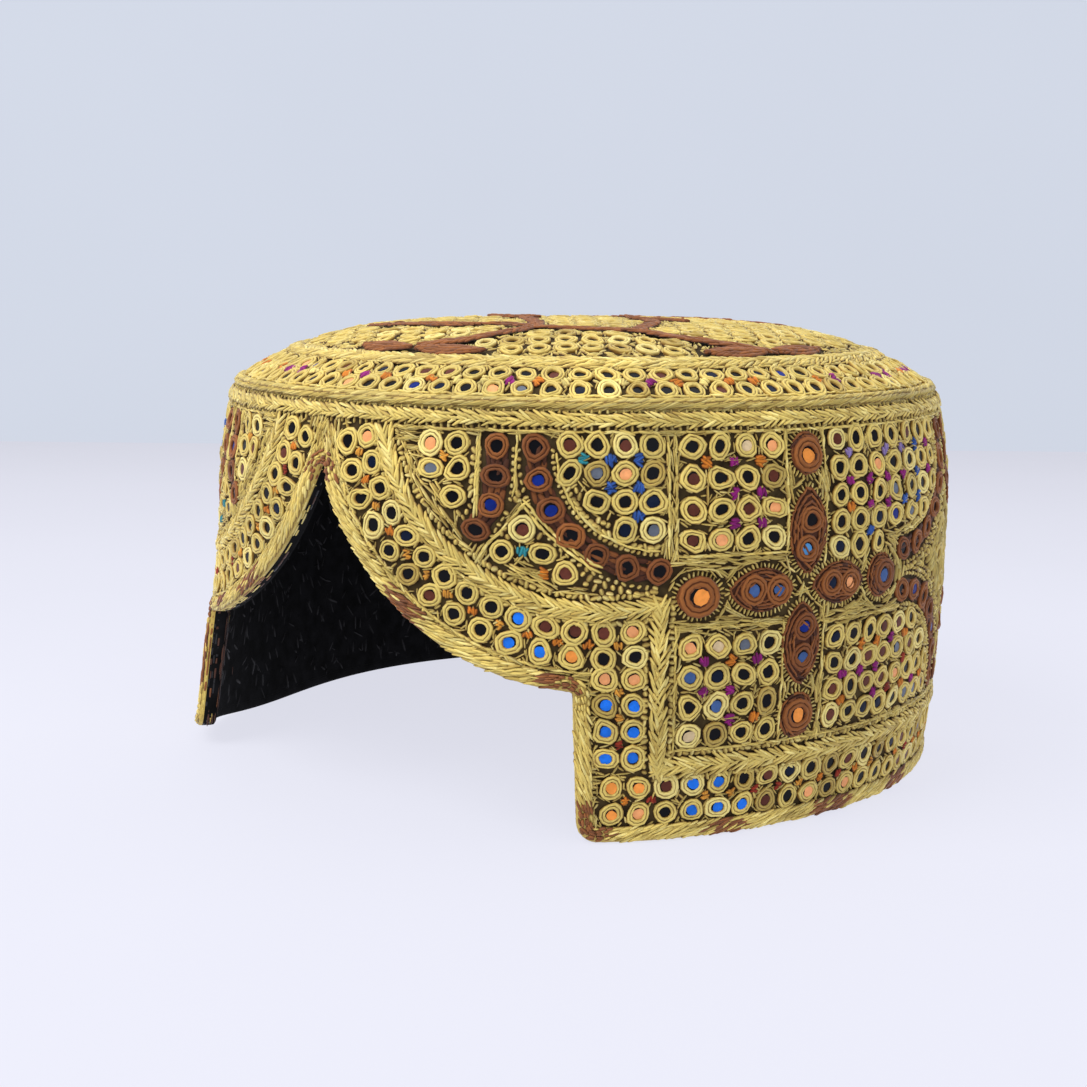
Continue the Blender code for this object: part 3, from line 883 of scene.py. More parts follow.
@dataclass(frozen=True)
class ClothFinish:
    """Woven cloth with a fine crossed weave and drifting shade."""

    name: str
    colour: tuple[float, float, float]
    shade: tuple[float, float, float]
    roughness: float = 0.9
    threads: float = 1400.0
    depth: float = 0.12
    specular: float = 0.15
    sheen: float = 0.03

    def material(self) -> bpy.types.Material:
        """Build the finish.

        Returns:
            The material.
        """
        material, bench, shader = start_material(self.name)
        shader.inputs["Specular IOR Level"].default_value = self.specular
        shader.inputs["Sheen Weight"].default_value = self.sheen
        place = bench.add("ShaderNodeTexCoord")
        ageing = bench.add("ShaderNodeGroup", "ageing", node_tree=ageing_group())
        ageing.inputs["Scale"].default_value = 260.0
        ramp = bench.add("ShaderNodeValToRGB", "worn colour")
        stops = ((0.35, self.shade), (0.7, self.colour))
        for element, (position, colour) in zip(ramp.color_ramp.elements, stops):
            element.position = position
            element.color = (*colour, 1.0)
        bench.join(ageing.outputs["Mask"], ramp.inputs["Fac"])
        bench.join(ramp.outputs["Color"], shader.inputs["Base Color"])
        weave = bench.noise("weave", self.threads, 2.0, place.outputs["Object"])
        gloss = bench.spread(weave, self.roughness - 0.08, self.roughness + 0.08, "gloss")
        bench.join(gloss, shader.inputs["Roughness"])
        bench.join(bench.relief(weave, 0.6, self.depth, "weave relief"), shader.inputs["Normal"])
        return material


class Finishes:
    """The cap's materials."""

    def __init__(self) -> None:
        """Build every material once."""
        self.thread = ThreadFinish("gold thread").material()
        self.brown = ThreadFinish("brown thread", roughness=0.66, specular=0.2).material()
        self.mirror = MirrorFinish().material()
        self.ground = ClothFinish(
            "dark ground cloth", (0.080, 0.054, 0.020), (0.026, 0.016, 0.007)).material()
        self.seams = ThreadFinish("lining thread", roughness=0.5, specular=0.22, sheen=0.0).material()
        self.lining = ClothFinish(
            "black lining", (0.011, 0.011, 0.012), (0.005, 0.005, 0.005), specular=0.06, sheen=0.0).material()


PICKED_BY_CHANCE = (-1.0, 0.0, 0.0)


@dataclass
class Rings:
    """Thread rings round small mirrors, gathered while the fields are drawn."""

    places: list[tuple[float, float]] = field(default_factory=list)
    glass: list[tuple[float, float, float]] = field(default_factory=list)
    size: list[float] = field(default_factory=list)

    def add(self, places: Iterable[Sequence[float]], glass: MirrorReflection | None = None, size: float = 1.0) -> None:
        """Note rings.

        Args:
            places: Their two layout coordinates each.
            glass: Their mirrors' painted reflection colour, or None for one that chance picks.
            size: Their size as a share of the usual one.
        """
        for place in places:
            self.places.append((float(place[0]), float(place[1])))
            self.glass.append(glass.value if glass else PICKED_BY_CHANCE)
            self.size.append(size)

    def near(self, spots: np.ndarray) -> tuple[np.ndarray, np.ndarray]:
        """Find the nearest ring to each spot.

        Args:
            spots: Rows of two layout coordinates.

        Returns:
            The distances, and the angles of the lines from ring to spot.
        """
        places = np.array(self.places)
        distance, number = nearest(spots, places)
        apart = spots - places[number]
        return distance, np.arctan2(apart[:, 1], apart[:, 0])


RING_DEPTH = -0.62
GROUND_DEPTH = -1.0


def lay_rings(rings: Rings, seed: int, name: str, surface: Surface, finishes: Finishes,
              squash: tuple[float, float, float] = (1.0, 1.0, 1.0),
              thread: tuple[Thread, ...] = ()) -> tuple[bpy.types.Object, bpy.types.Object]:
    """Sew rings and their mirrors as two pieces.

    Args:
        rings: Where the rings are.
        seed: The seed of their unevenness.
        name: The start of the pieces' names.
        surface: The rule that wraps them.
        finishes: The materials.
        squash: The rings' usual size along, across and in depth.
        thread: The thread colours to pick from, or none for gold.

    Returns:
        The ring piece and the mirror piece.
    """
    work = Needlework(seed)
    places = np.array(rings.places)
    count = len(places)
    scale = np.array(rings.size)[:, None] * work.chance.uniform(0.89, 1.07, (count, 3)) * squash
    turn = work.chance.uniform(0, FULL_TURN, count)
    if thread:
        tint = work.mix(count, *[(colour, 1.0) for colour in thread])
    else:
        tint = work.mix(count, (Thread.GOLD, 0.82), (Thread.PALE_GOLD, 0.12), (Thread.OLD_GOLD, 0.06))
    depth = RING_DEPTH + work.chance.normal(0, 0.06, count)
    work.stamp(RING, places, scale, depth, tint, turn, wobble=0.07, tilt=0.06, uneven=0.08, rough=0.07)
    ring_piece = work.build(f"{name}_rings", surface, finishes.brown if thread else finishes.thread)
    glass = np.array(rings.glass)
    chosen = glass[:, 0] < 0
    # Mirrors without a given colour get a painted reflection picked by chance, mostly dark.
    reflection_colours = [MirrorReflection.BLACK, MirrorReflection.UMBER, MirrorReflection.INK, MirrorReflection.GREY, MirrorReflection.PEACH, MirrorReflection.DEEP_BLUE]
    odds = [0.60, 0.20, 0.12, 0.04, 0.02, 0.02]
    pick = work.chance.choice(len(reflection_colours), count, p=odds)
    glass[chosen] = np.array([tint.value for tint in reflection_colours])[pick][chosen]
    radii = np.array(rings.size) * work.chance.uniform(1.42, 1.6, count) * squash[0]
    mirror_piece = set_mirrors(
        f"{name}_mirrors", seed + 1, places, radii, RING_DEPTH + 0.05, glass, surface, finishes)
    return ring_piece, mirror_piece


def set_mirrors(name: str, seed: int, places: np.ndarray, radii: np.ndarray, depth: float, glass: np.ndarray,
                surface: Surface, finishes: Finishes) -> bpy.types.Object:
    """Set mirrors: a dark pane, a painted reflection of dark surroundings, and above it the painted
    reflection of the coloured ones, offset so a crescent of painted shade shows.

    Args:
        name: The piece's name.
        seed: The seed of their unevenness.
        places: Rows of two layout coordinates.
        radii: The mirrors' radii.
        depth: The mirrors' depth.
        glass: The mirrors' painted reflection colours.
        surface: The rule that wraps them.
        finishes: The materials.

    Returns:
        The mirror piece.
    """
    panes = Needlework(seed)
    count = len(places)
    sizes = np.column_stack((radii, radii * panes.chance.uniform(0.95, 1.1, count), radii))
    # Every mirror gets a dark pane: a painted reflection of dark surroundings.
    panes.stamp(DISC, places, sizes * (1, 1, 0.25), depth, np.array(MirrorReflection.BLACK.value),
                panes.chance.uniform(0, 3, count), wobble=0.04)
    # Coloured mirrors get their painted reflection on top, a little smaller and offset, so a crescent of the
    # dark pane shows as painted shade cast by the ring's rim.
    lit = glass.sum(axis=1) > 0.03
    lead = np.column_stack((panes.chance.normal(0.05, 0.08, count), panes.chance.normal(-0.05, 0.08, count)))
    panes.stamp(DISC, (places + lead * radii[:, None])[lit], sizes[lit] * (0.84, 0.86, 0.84), depth + 0.10,
                glass[lit], panes.chance.uniform(0, 3, lit.sum()), wobble=0.06, uneven=0.15)
    return panes.build(name, surface, finishes.mirror)


@dataclass(frozen=True)
class Braid:
    """Strands laid along a path in columns, leaning to meet in the middle."""

    width: float
    columns: int
    pitch: float
    lean: float
    strand: tuple[float, float, float]
    top: float
    crown: float = 0.25

    def lay(self, work: Needlework, path: np.ndarray,
            tint: Callable[[int], np.ndarray] | None = None) -> None:
        """Lay the braid along a path.

        Args:
            work: Where the strands go.
            path: Rows of two layout coordinates.
            tint: Picks the strands' colours, or None for gold.
        """
        for column in range(self.columns):
            share = (column + 0.5) / self.columns * 2 - 1
            trail = Trail.along(path, self.pitch, start=0.5 + 0.5 * (column % 2))
            count = len(trail.places)
            across = share * self.width / 2 + work.chance.normal(0, 0.05 * self.width, count)
            angle = trail.heading - math.copysign(self.lean, share) + work.chance.normal(0, 0.13, count)
            size = work.sizes(self.strand, 0.8, 1.2, count)
            depth = self.top - self.strand[2] / 2 - self.crown * share ** 2
            depth = depth + work.chance.normal(0, 0.08, count)
            colour = tint(count) if tint else work.gold(count)
            work.stamp(STRAND, trail.beside(across), size, depth, colour, angle, uneven=0.14, rough=0.03)


FINE_CORD = Braid(width=0.1, columns=1, pitch=2.0, lean=0.06, strand=(3.6, 0.7, 0.8), top=-0.25, crown=0.0)


@dataclass
class Cross:
    """Brown motifs round one cross: padded medallions with mirrors, arcs and hooks of brown rings."""

    s: float
    mirrored: bool
    open_front: bool
    height: float = 56.0
    arc_out: float = 34.3
    arc_up: float = 31.5
    arc_radius: float = 26.5
    hook_out: float = 69.4

    def at(self, out: float, up: float) -> tuple[float, float]:
        """The layout place at an offset from the cross, mirrored with it."""
        return self.s + (-out if self.mirrored else out), self.height + up


BAND = Braid(width=4.6, columns=4, pitch=2.2, lean=0.12, strand=(3.8, 1.35, 0.6), top=-0.55, crown=0.15)
PAD_TABLE = [
    # out, up, width, height, form, mirrors as out, up, radius and painted reflection colour
    (0.6, 29.6, 8.2, 9.3, "round", [(0.6, 29.3, 1.9, MirrorReflection.ORANGE)]),
    (0.6, 12.5, 10.0, 19.3, "tall", [(0.9, 14.9, 1.5, MirrorReflection.BLACK), (0.0, 8.5, 1.5, MirrorReflection.SKY)]),
    (-0.4, -13.0, 10.0, 19.0, "tall", [(0.0, -9.2, 1.5, MirrorReflection.DEEP_BLUE), (-0.3, -16.1, 1.5, MirrorReflection.STEEL)]),
    (-0.5, -29.8, 9.0, 10.3, "round", [(-0.5, -29.8, 1.9, MirrorReflection.ORANGE)]),
    (-25.7, -0.8, 9.4, 8.5, "round", [(-25.7, -0.8, 2.2, MirrorReflection.ORANGE)]),
    (-10.8, -0.1, 15.6, 9.7, "wide", [(-13.2, 0.1, 1.6, MirrorReflection.STEEL), (-7.1, -0.3, 1.6, MirrorReflection.STEEL)]),
    (10.0, 0.0, 15.3, 9.5, "wide", [(7.4, 0.1, 1.5, MirrorReflection.INK), (12.9, -0.4, 1.5, MirrorReflection.PEACH)]),
    (24.2, 0.0, 9.3, 10.3, "round", [(25.2, 0.0, 1.9, MirrorReflection.STEEL)]),
]


def pad_outline(form: str, width: float, height: float, steps: int = 48) -> np.ndarray:
    """The outline of a medallion, counter-clockwise from its right.

    Args:
        form: "round", "tall" or "wide".
        width: Its full width.
        height: Its full height.
        steps: How many points the outline has.

    Returns:
        Rows of two offsets.
    """
    turn = np.linspace(0, FULL_TURN, steps, endpoint=False)
    x, y = np.cos(turn), np.sin(turn)
    if form == "tall":
        x = np.sign(x) * np.abs(x) ** 1.45
    elif form == "wide":
        y = np.sign(y) * np.abs(y) ** 1.45
    return np.column_stack((x * width / 2, y * height / 2))


BAND_REACH = 4.2
PAD_RAY_REACH = 1.75
HOOK = ((-0.2, 31.6), (-0.3, 25.9), (0.2, 19.6), (3.8, 13.4))


@dataclass
class BrownMotifs:
    """All brown needlework on the wall."""

    crosses: list[Cross]
    keep_out: list[tuple[np.ndarray, float]] = field(default_factory=list)
    glass: Rings = field(default_factory=Rings)
    beads: Rings = field(default_factory=Rings)

    def bead_paths(self, cross: Cross) -> list[np.ndarray]:
        """The centre lines of a cross's arcs and hooks.

        Args:
            cross: The cross.

        Returns:
            One path for each arc and hook.
        """
        paths = []
        for side in (-1, 1):
            for level in (1, -1):
                if side < 0 and level < 0 and cross.open_front:
                    continue
                centre = cross.at(side * cross.arc_out, level * cross.arc_up)
                outwards = side * (-1 if cross.mirrored else 1)
                outer = 0.0 if outwards > 0 else HALF_TURN
                inner = -level * HALF_TURN / 2 if outwards > 0 else HALF_TURN + level * HALF_TURN / 2
                paths.append(arc(centre, cross.arc_radius, outer, inner, 40))
                hook = [cross.at(side * (cross.hook_out + out), level * up) for out, up in HOOK]
                paths.append(np.array(hook))
        return paths

    def sew(self, finishes: Finishes) -> None:
        """Sew every motif: pads and bands, brown rings, mirrors and the gold rays round them.

        Args:
            finishes: The materials.
        """
        pads = Needlework(301)
        rays = Needlework(302)
        for cross in self.crosses:
            self._medallions(cross, pads, rays)
            for path in self.bead_paths(cross):
                self._beads(path, pads, rays)
        brown = pads.build("brown_motif_threads", FORM.wall, finishes.brown)
        gold = rays.build("motif_rays", FORM.wall, finishes.thread)
        rings, mirrors = lay_rings(self.beads, 305, "brown", FORM.wall, finishes,
                                   thread=(Thread.BROWN, Thread.RUST, Thread.RUST))
        jewels = set_mirrors("medallion_mirrors", 307, np.array(self.glass.places), np.array(self.glass.size),
                             0.06, np.array(self.glass.glass), FORM.wall, finishes)
        nodes = []
        sides = (("right", ("front", "rear")), ("back", ("right", "left")), ("left", ("front", "rear")))
        for label, parts in sides:
            for part in ("top_round", "upper_leaf", "lower_leaf", "bottom_round", "front_round", "front_leaf",
                         "rear_leaf", "rear_round"):
                nodes.append(f"{label}_{part}")
            for part in parts:
                for level in ("high", "low"):
                    if part != "front" or level == "high":
                        nodes += [f"{label}_arc_{part}_{level}", f"{label}_hook_{part}_{level}"]
        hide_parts(*nodes)

    def _medallions(self, cross: Cross, pads: Needlework, rays: Needlework) -> None:
        """Sew a cross's eight medallions: a domed pad, rounds of thread, and gold rays about it."""
        for out, up, width, height, form, mirrors in PAD_TABLE:
            middle = np.array(cross.at(out, up))
            outline = pad_outline(form, width, height)
            closed = np.vstack((outline, outline[:1]))
            self.keep_out.append((middle + outline * 0.5, max(width, height) * 0.25))
            self.keep_out.append((middle + outline, PAD_RAY_REACH))

            def dome(across: np.ndarray, along: np.ndarray) -> np.ndarray:
                """Spots on the domed pad, from its outline to its middle."""
                steps = np.arange(len(closed))
                turn = np.interp(across * FULL_TURN, np.linspace(0, FULL_TURN, len(closed)), steps)
                ring = np.column_stack([np.interp(turn, steps, closed[:, k]) for k in (0, 1)])
                spot = middle + ring * (1 - along)[:, None]
                return np.column_stack((spot, -0.85 + 0.75 * np.sqrt(np.clip(1 - (1 - along) ** 3, 0, 1))))

            pads.sheet(48, 4, dome, Thread.DARK_BROWN)
            for shrink, top in ((0.97, -0.22), (0.82, 0.10), (0.67, 0.30), (0.5, 0.40)):
                thread = Braid(width=0.1, columns=1, pitch=1.5, lean=0.07, strand=(2.8, 0.68, 0.8), top=top,
                               crown=0.0)
                thread.lay(pads, middle + closed * shrink, tint=self._brown(pads))
            for mirror_out, mirror_up, radius, glass in mirrors:
                place = np.array(cross.at(mirror_out, mirror_up))
                self.glass.add([place], glass, radius)
                size = (radius / 1.40, radius / 1.40, 1.1)
                pads.stamp(RING, place, size, 0.02, self.rust(pads)(1), wobble=0.04, rough=0.05)
            trail = Trail.along(closed * (1 + 1.1 / width, 1 + 1.1 / height) + middle, 0.95)
            count = len(trail.places)
            size = rays.sizes((1.9, 0.6, 0.9), 0.7, 1.3, count)
            angle = trail.heading + HALF_TURN / 2 + rays.chance.normal(0, 0.28, count)
            rays.stamp(SEED, trail.places, size, -0.80, rays.gold(count), angle, uneven=0.2)

    def _beads(self, path: np.ndarray, pads: Needlework, rays: Needlework) -> None:
        """Sew a band of brown rings along a path, with seed stitches on both sides."""
        dense = Trail.along(path, 0.6, start=0.5)
        self.keep_out.append((dense.places, BAND_REACH))
        shares = ((Thread.BROWN, 0.4), (Thread.DARK_BROWN, 0.6))
        BAND.lay(pads, path, tint=lambda count: pads.mix(count, *shares))
        reach = np.hypot(*np.diff(path, axis=0).T).sum()
        count = round(reach / 6.8) + 1
        ends = Trail.along(path, reach / (count - 1), start=0.0).places
        for place in np.vstack((ends, path[-1:])):
            deep = pads.chance.random() < 0.2
            self.beads.add([place], MirrorReflection.DEEP_BLUE if deep else MirrorReflection.BLACK, 1.03)
        for side in (-1, 1):
            trail = Trail.along(path, 1.5)
            places = trail.beside(side * 3.7)
            count = len(places)
            size = rays.sizes((1.25, 1.0, 1.2), 0.8, 1.2, count)
            angle = rays.chance.uniform(0, HALF_TURN, count)
            rays.stamp(SEED, places, size, -0.85, rays.gold(count), angle, uneven=0.15)

    @staticmethod
    def _brown(work: Needlework) -> Callable[[int], np.ndarray]:
        """A picker of the darker brown threads."""
        shares = ((Thread.BROWN, 0.6), (Thread.RUST, 0.25), (Thread.DARK_BROWN, 0.15))
        return lambda count: work.mix(count, *shares)

    @staticmethod
    def rust(work: Needlework) -> Callable[[int], np.ndarray]:
        """A picker of the lighter brown threads."""
        return lambda count: work.mix(count, (Thread.RUST, 0.7), (Thread.BROWN, 0.3))


def low_edge(s: np.ndarray, inset: float) -> np.ndarray:
    """The height of the cap's lower edge.

    Args:
        s: Arc lengths from the middle of the front.
        inset: How far the edge is moved into the cloth.

    Returns:
        A height for each arc length.
    """
    edge = FORM.opening_edge(inset)
    away = np.abs(s)
    return np.where(away < FORM.flap_edge + inset - 0.6, np.interp(away, edge[:, 0], edge[:, 1]), inset)


def round_back(path: np.ndarray) -> np.ndarray:
    """A path, followed by its copy at the layout's other end if it passes the middle of the back."""
    if path[:, 0].max() < FORM.half_girth:
        return path
    return np.vstack((path, path - (2 * FORM.half_girth, 0)))


def both_sides(places: np.ndarray) -> np.ndarray:
    """Places of the right half followed by their mirror images."""
    return np.vstack((places, places * (-1, 1)))


POLE_RADIUS = 0.4


def wall_sheet(top: float, depth: float, way: int = 1) -> Layout:
    """A rule that spreads a grid over the wall.

    Args:
        top: The height of its upper edge.
        depth: Its depth.
        way: 1 for a sheet that faces outwards, -1 for one that faces inwards.

    Returns:
        The rule.
    """
    def place(across: np.ndarray, along: np.ndarray) -> np.ndarray:
        """Spots between the lower edge and the top."""
        s = way * (across * 2 - 1) * FORM.half_girth
        low = low_edge(s, 2.6)
        return np.column_stack((s, low + (top - low) * along, np.full(len(s), depth)))

    return place


def crown_sheet(reach: float, depth: float, way: int = 1) -> Layout:
    """A rule that spreads a grid over the crown.

    Args:
        reach: Its radius.
        depth: Its depth.
        way: 1 for a sheet that faces outwards, -1 for one that faces inwards.

    Returns:
        The rule.
    """
    def place(across: np.ndarray, along: np.ndarray) -> np.ndarray:
        """Spots between the pole and the rim."""
        radius = POLE_RADIUS + (reach - POLE_RADIUS) * along
        return np.column_stack((around(way * across * FULL_TURN, radius), np.full(len(across), depth)))

    return place


SIDE_CROSS = 112.8
BACK_FIELD = 202.5
BACK_DIAMOND = ((-25.5, 7.5), (-29.5, 0.0), (-21.5, 0.0), (-25.5, -7.5))
BORDER_CENTRE = (66.6, 104.0)
BORDER_BRAID_RADIUS = 51.7
BORDER_SIDE = 78.7
BORDER_LOW = 17.0
CELLS_SEWN = 0.86
FILLING_TRIES = 62000
CELL_THREADS = {
    "cross": ((Thread.MAGENTA, 0.7), (Thread.ORANGE, 0.3)),
    "ember": ((Thread.ORANGE, 0.45), (Thread.RED, 0.35), (Thread.MAGENTA, 0.2)),
    "sky": ((Thread.BLUE, 0.8), (Thread.TEAL, 0.2)),
    "dusk": ((Thread.MAGENTA, 0.4), (Thread.BLUE, 0.3), (Thread.ORANGE, 0.15), (Thread.LILAC, 0.15)),
    "strip": ((Thread.AMBER, 0.5), (Thread.ORANGE, 0.35), (Thread.RED, 0.15)),
    "leaf": ((Thread.TEAL, 0.8), (Thread.ORANGE, 0.2)),
    "crown": ((Thread.MAGENTA, 0.35), (Thread.ORANGE, 0.35), (Thread.PALE_GOLD, 0.3)),
}
# Painted reflection colours of the mirrors nearest to these places, on the right half.
MIRROR_REFLECTIONS = {
    MirrorReflection.BLUE: [
        (47.7, 51), (46.8, 45.4), (53.1, 44.3), (67.3, 31.6), (73.2, 31.6), (67.3, 25.8), (73.2, 25.8),
        (67.3, 19.4), (73.2, 19.4), (85.5, 6.5), (92.5, 12.6), (92.5, 6.5), (98.5, 6.5), (85.5, 12.6),
    ],
    MirrorReflection.ORANGE: [(59.7, 43.1), (68.5, 12.6), (68.5, 6.5), (74.7, 12.6)],
    MirrorReflection.PEACH: [
        (12.5, 88.5), (66.4, 37.5), (104.4, 87.8), (91.7, 67.4), (85.5, 44), (74.7, 6.5), (28.5, 87.7),
    ],
    MirrorReflection.CREAM: [(98.2, 87.8), (92, 44), (85.5, 23.8)],
    MirrorReflection.STEEL: [(85.5, 37), (92, 30.5)],
}


@dataclass
class WallFields:
    """The fields of mirror rings on the wall, with the coloured stitches and cords between them."""

    bands: np.ndarray
    rings: Rings = field(default_factory=Rings)
    cells: list[tuple[float, float, str]] = field(default_factory=list)
    cords: list[np.ndarray] = field(default_factory=list)

    def grid(self, columns: Sequence[float], rows: Sequence[float], threads: str) -> None:
        """Fill a field with rings, and its gaps with coloured stitches.

        Args:
            columns: The columns' places.
            rows: The rows' heights.
            threads: Which coloured threads the gaps get.
        """
        s, z = np.meshgrid(columns, rows, indexing="ij")
        spots = np.column_stack((s.ravel(), z.ravel()))
        stays = clear_of(spots, self.bands, 6.2).reshape(s.shape)
        self.rings.add(spots[stays.ravel()])
        for i in range(len(columns) - 1):
            for j in range(len(rows) - 1):
                if stays[i:i + 2, j:j + 2].all():
                    self.cells.append((s[i:i + 2, j].mean(), z[i, j:j + 2].mean(), threads))

    def strip(self, outer: np.ndarray, inner: np.ndarray, threads: str) -> None:
        """Fill a strip with two rows of rings side by side.

        Args:
            outer: The places of one row.
            inner: The places of the other, in the same number.
            threads: Which coloured threads the gaps get.
        """
        self.rings.add(outer)
        self.rings.add(inner)
        for k in range(len(outer) - 1):
            middle = (outer[k] + outer[k + 1] + inner[k] + inner[k + 1]) / 4
            self.cells.append((*middle, threads))

    def draw(self) -> None:
        """Draw the right half's fields, and mirror them."""
        radians = np.radians(np.linspace(196.0, 276.5, 14))
        rays = np.column_stack((np.cos(radians), np.sin(radians)))
        self.strip(BORDER_CENTRE + 62.2 * rays, BORDER_CENTRE + 56.5 * rays, "strip")
        heights = np.array((37.3, 31.4, 25.5, 19.4))
        flap = [np.column_stack((np.full(4, s), heights)) for s in (67.3, 73.4)]
        self.strip(*flap, "strip")
        run = np.linspace(68.5, FORM.half_girth, 37)
        low = [np.column_stack((run, np.full(37, z))) for z in (12.6, 6.5)]
        self.strip(*low, "strip")
        self.rings.add(((28.5, 87.7), (34.6, 87.9), (28.9, 82.3), (35.2, 82.4), (34.4, 76.4)))
        self.rings.add(((49.6, 70.0), (45.3, 64.9), (53.9, 64.7), (58.7, 60.5)))
        self.cells += [(49.8, 65.2, "leaf"), (54.2, 60.2, "leaf"), (31.8, 85.0, "strip")]
        self.grid((59.3, 65.1, 71.0, 76.9), (88.2, 82.2, 76.2, 70.1), "sky")
        self.grid((85.6, 91.8, 98.1, 104.4), (87.8, 81.0, 74.2, 67.6), "cross")
        self.grid((85.6, 91.8, 98.0, 104.1), (43.9, 37.1, 30.4, 23.8), "cross")
        for start, way in ((SIDE_CROSS, 1), (FORM.half_girth, -1)):
            upper = start + way * np.array((9.9, 16.2, 23.0, 29.7, 37.2, 44.0, 50.6))
            lower = start + way * np.array((9.7, 15.6, 21.4, 27.2, 33.6, 40.0, 45.8, 51.6))
            self.grid(upper, (88.3, 82.0, 75.8, 69.8, 64.0), "cross" if way < 0 else "dusk")
            self.grid(lower, (43.3, 37.1, 30.9, 24.7), "ember")
        for away in (-12.0, -5.8, 5.8, 12.0):
            heights = (88.2, 82.2, 76.2, 70.2, 64.2, 48.4, 42.2, 36.2, 30.2, 24.2)
            self.rings.add([(BACK_FIELD + away, height) for height in heights])
            if away == 5.8:
                self.cells += [(BACK_FIELD, height - 3.0, "dusk") for height in heights]
        for out, up in BACK_DIAMOND:
            self.rings.add([(BACK_FIELD + side * out, 56.0 + up) for side in (1, -1)])
        self._outline()
        for glass, places in MIRROR_REFLECTIONS.items():
            for place in places:
                self._tint(place, glass)
        shared = [(-s, z) for s, z in self.rings.places if s < FORM.half_girth - 0.1]
        self.rings.add(shared)
        self.cells += [(-s, z, threads) for s, z, threads in self.cells]
        self.cords += [path * (-1, 1) for path in self.cords]

    def _tint(self, place: tuple[float, float], glass: MirrorReflection) -> None:
        """Give the mirror nearest to a place its painted reflection colour."""
        apart = np.hypot(*(np.array(self.rings.places) - place).T)
        if apart.min() < 4.0:
            self.rings.glass[int(apart.argmin())] = glass.value

    def _outline(self) -> None:
        """Note the cords round the fields."""
        back = FORM.half_girth
        lines = [
            ((39.3, 90.4), (39.3, 72.8)), ((39.8, 90.4), (39.8, 73.0)), ((48.0, 90.4), (47.8, 77.5)),
            ((80.4, 90.4), (80.4, 64.4)), ((82.0, 90.4), (82.0, 64.0)), ((82.0, 64.1), (108.0, 64.1)),
            ((82.0, 48.3), (108.0, 48.3)), ((82.2, 20.4), (82.2, 48.3)), ((107.9, 90.8), (107.9, 64.1)),
            ((107.6, 48.3), (107.6, 20.4)), ((118.4, 90.8), (118.4, 61.0)), ((118.6, 50.5), (118.6, 20.4)),
            ((118.6, 47.2), (146.0, 47.2)), ((186.4, 90.4), (186.4, 21.0)), ((218.6, 90.4), (218.6, 21.0)),
            ((186.6, 58.8), (218.4, 58.8)), ((186.6, 53.6), (218.4, 53.6)), ((20.2, 90.9), (185.0, 90.9)),
            ((82.0, 20.6), (back, 20.6)), ((back - 6.0, 47.2), (back - 33.0, 47.2)),
            ((back - 5.8, 90.8), (back - 5.8, 61.0)), ((back - 5.8, 50.5), (back - 5.8, 20.4)),
            ((186.0, 90.9), (back, 90.9)),
        ]
        self.cords = [np.linspace(start, end, 24) for start, end in lines]
        left_quarter = (HALF_TURN * 1.02, HALF_TURN * 1.49)
        right_quarter = (-HALF_TURN / 2, -0.02)
        for s, quarter in ((78.5, left_quarter), (147.1, right_quarter), (back - 34.3, left_quarter)):
            self.cords.append(arc((s, 87.5), 22.0, *quarter, 24))
        for radius in (65.5, 53.9):
            self.cords.append(arc(BORDER_CENTRE, radius, math.radians(194), math.radians(268), 40))
        tip = (49.7, 75.2)
        left = np.array([tip, (47.4, 72.2), (44.6, 68.8), (41.6, 65.6), (39.6, 62.2)])
        right = np.array([tip, (52.4, 71.6), (56.0, 68.0), (60.4, 64.4), (65.4, 61.0)])
        self.cords += [left, right, left + (0.7, 0.9), right + (0.5, 0.9)]


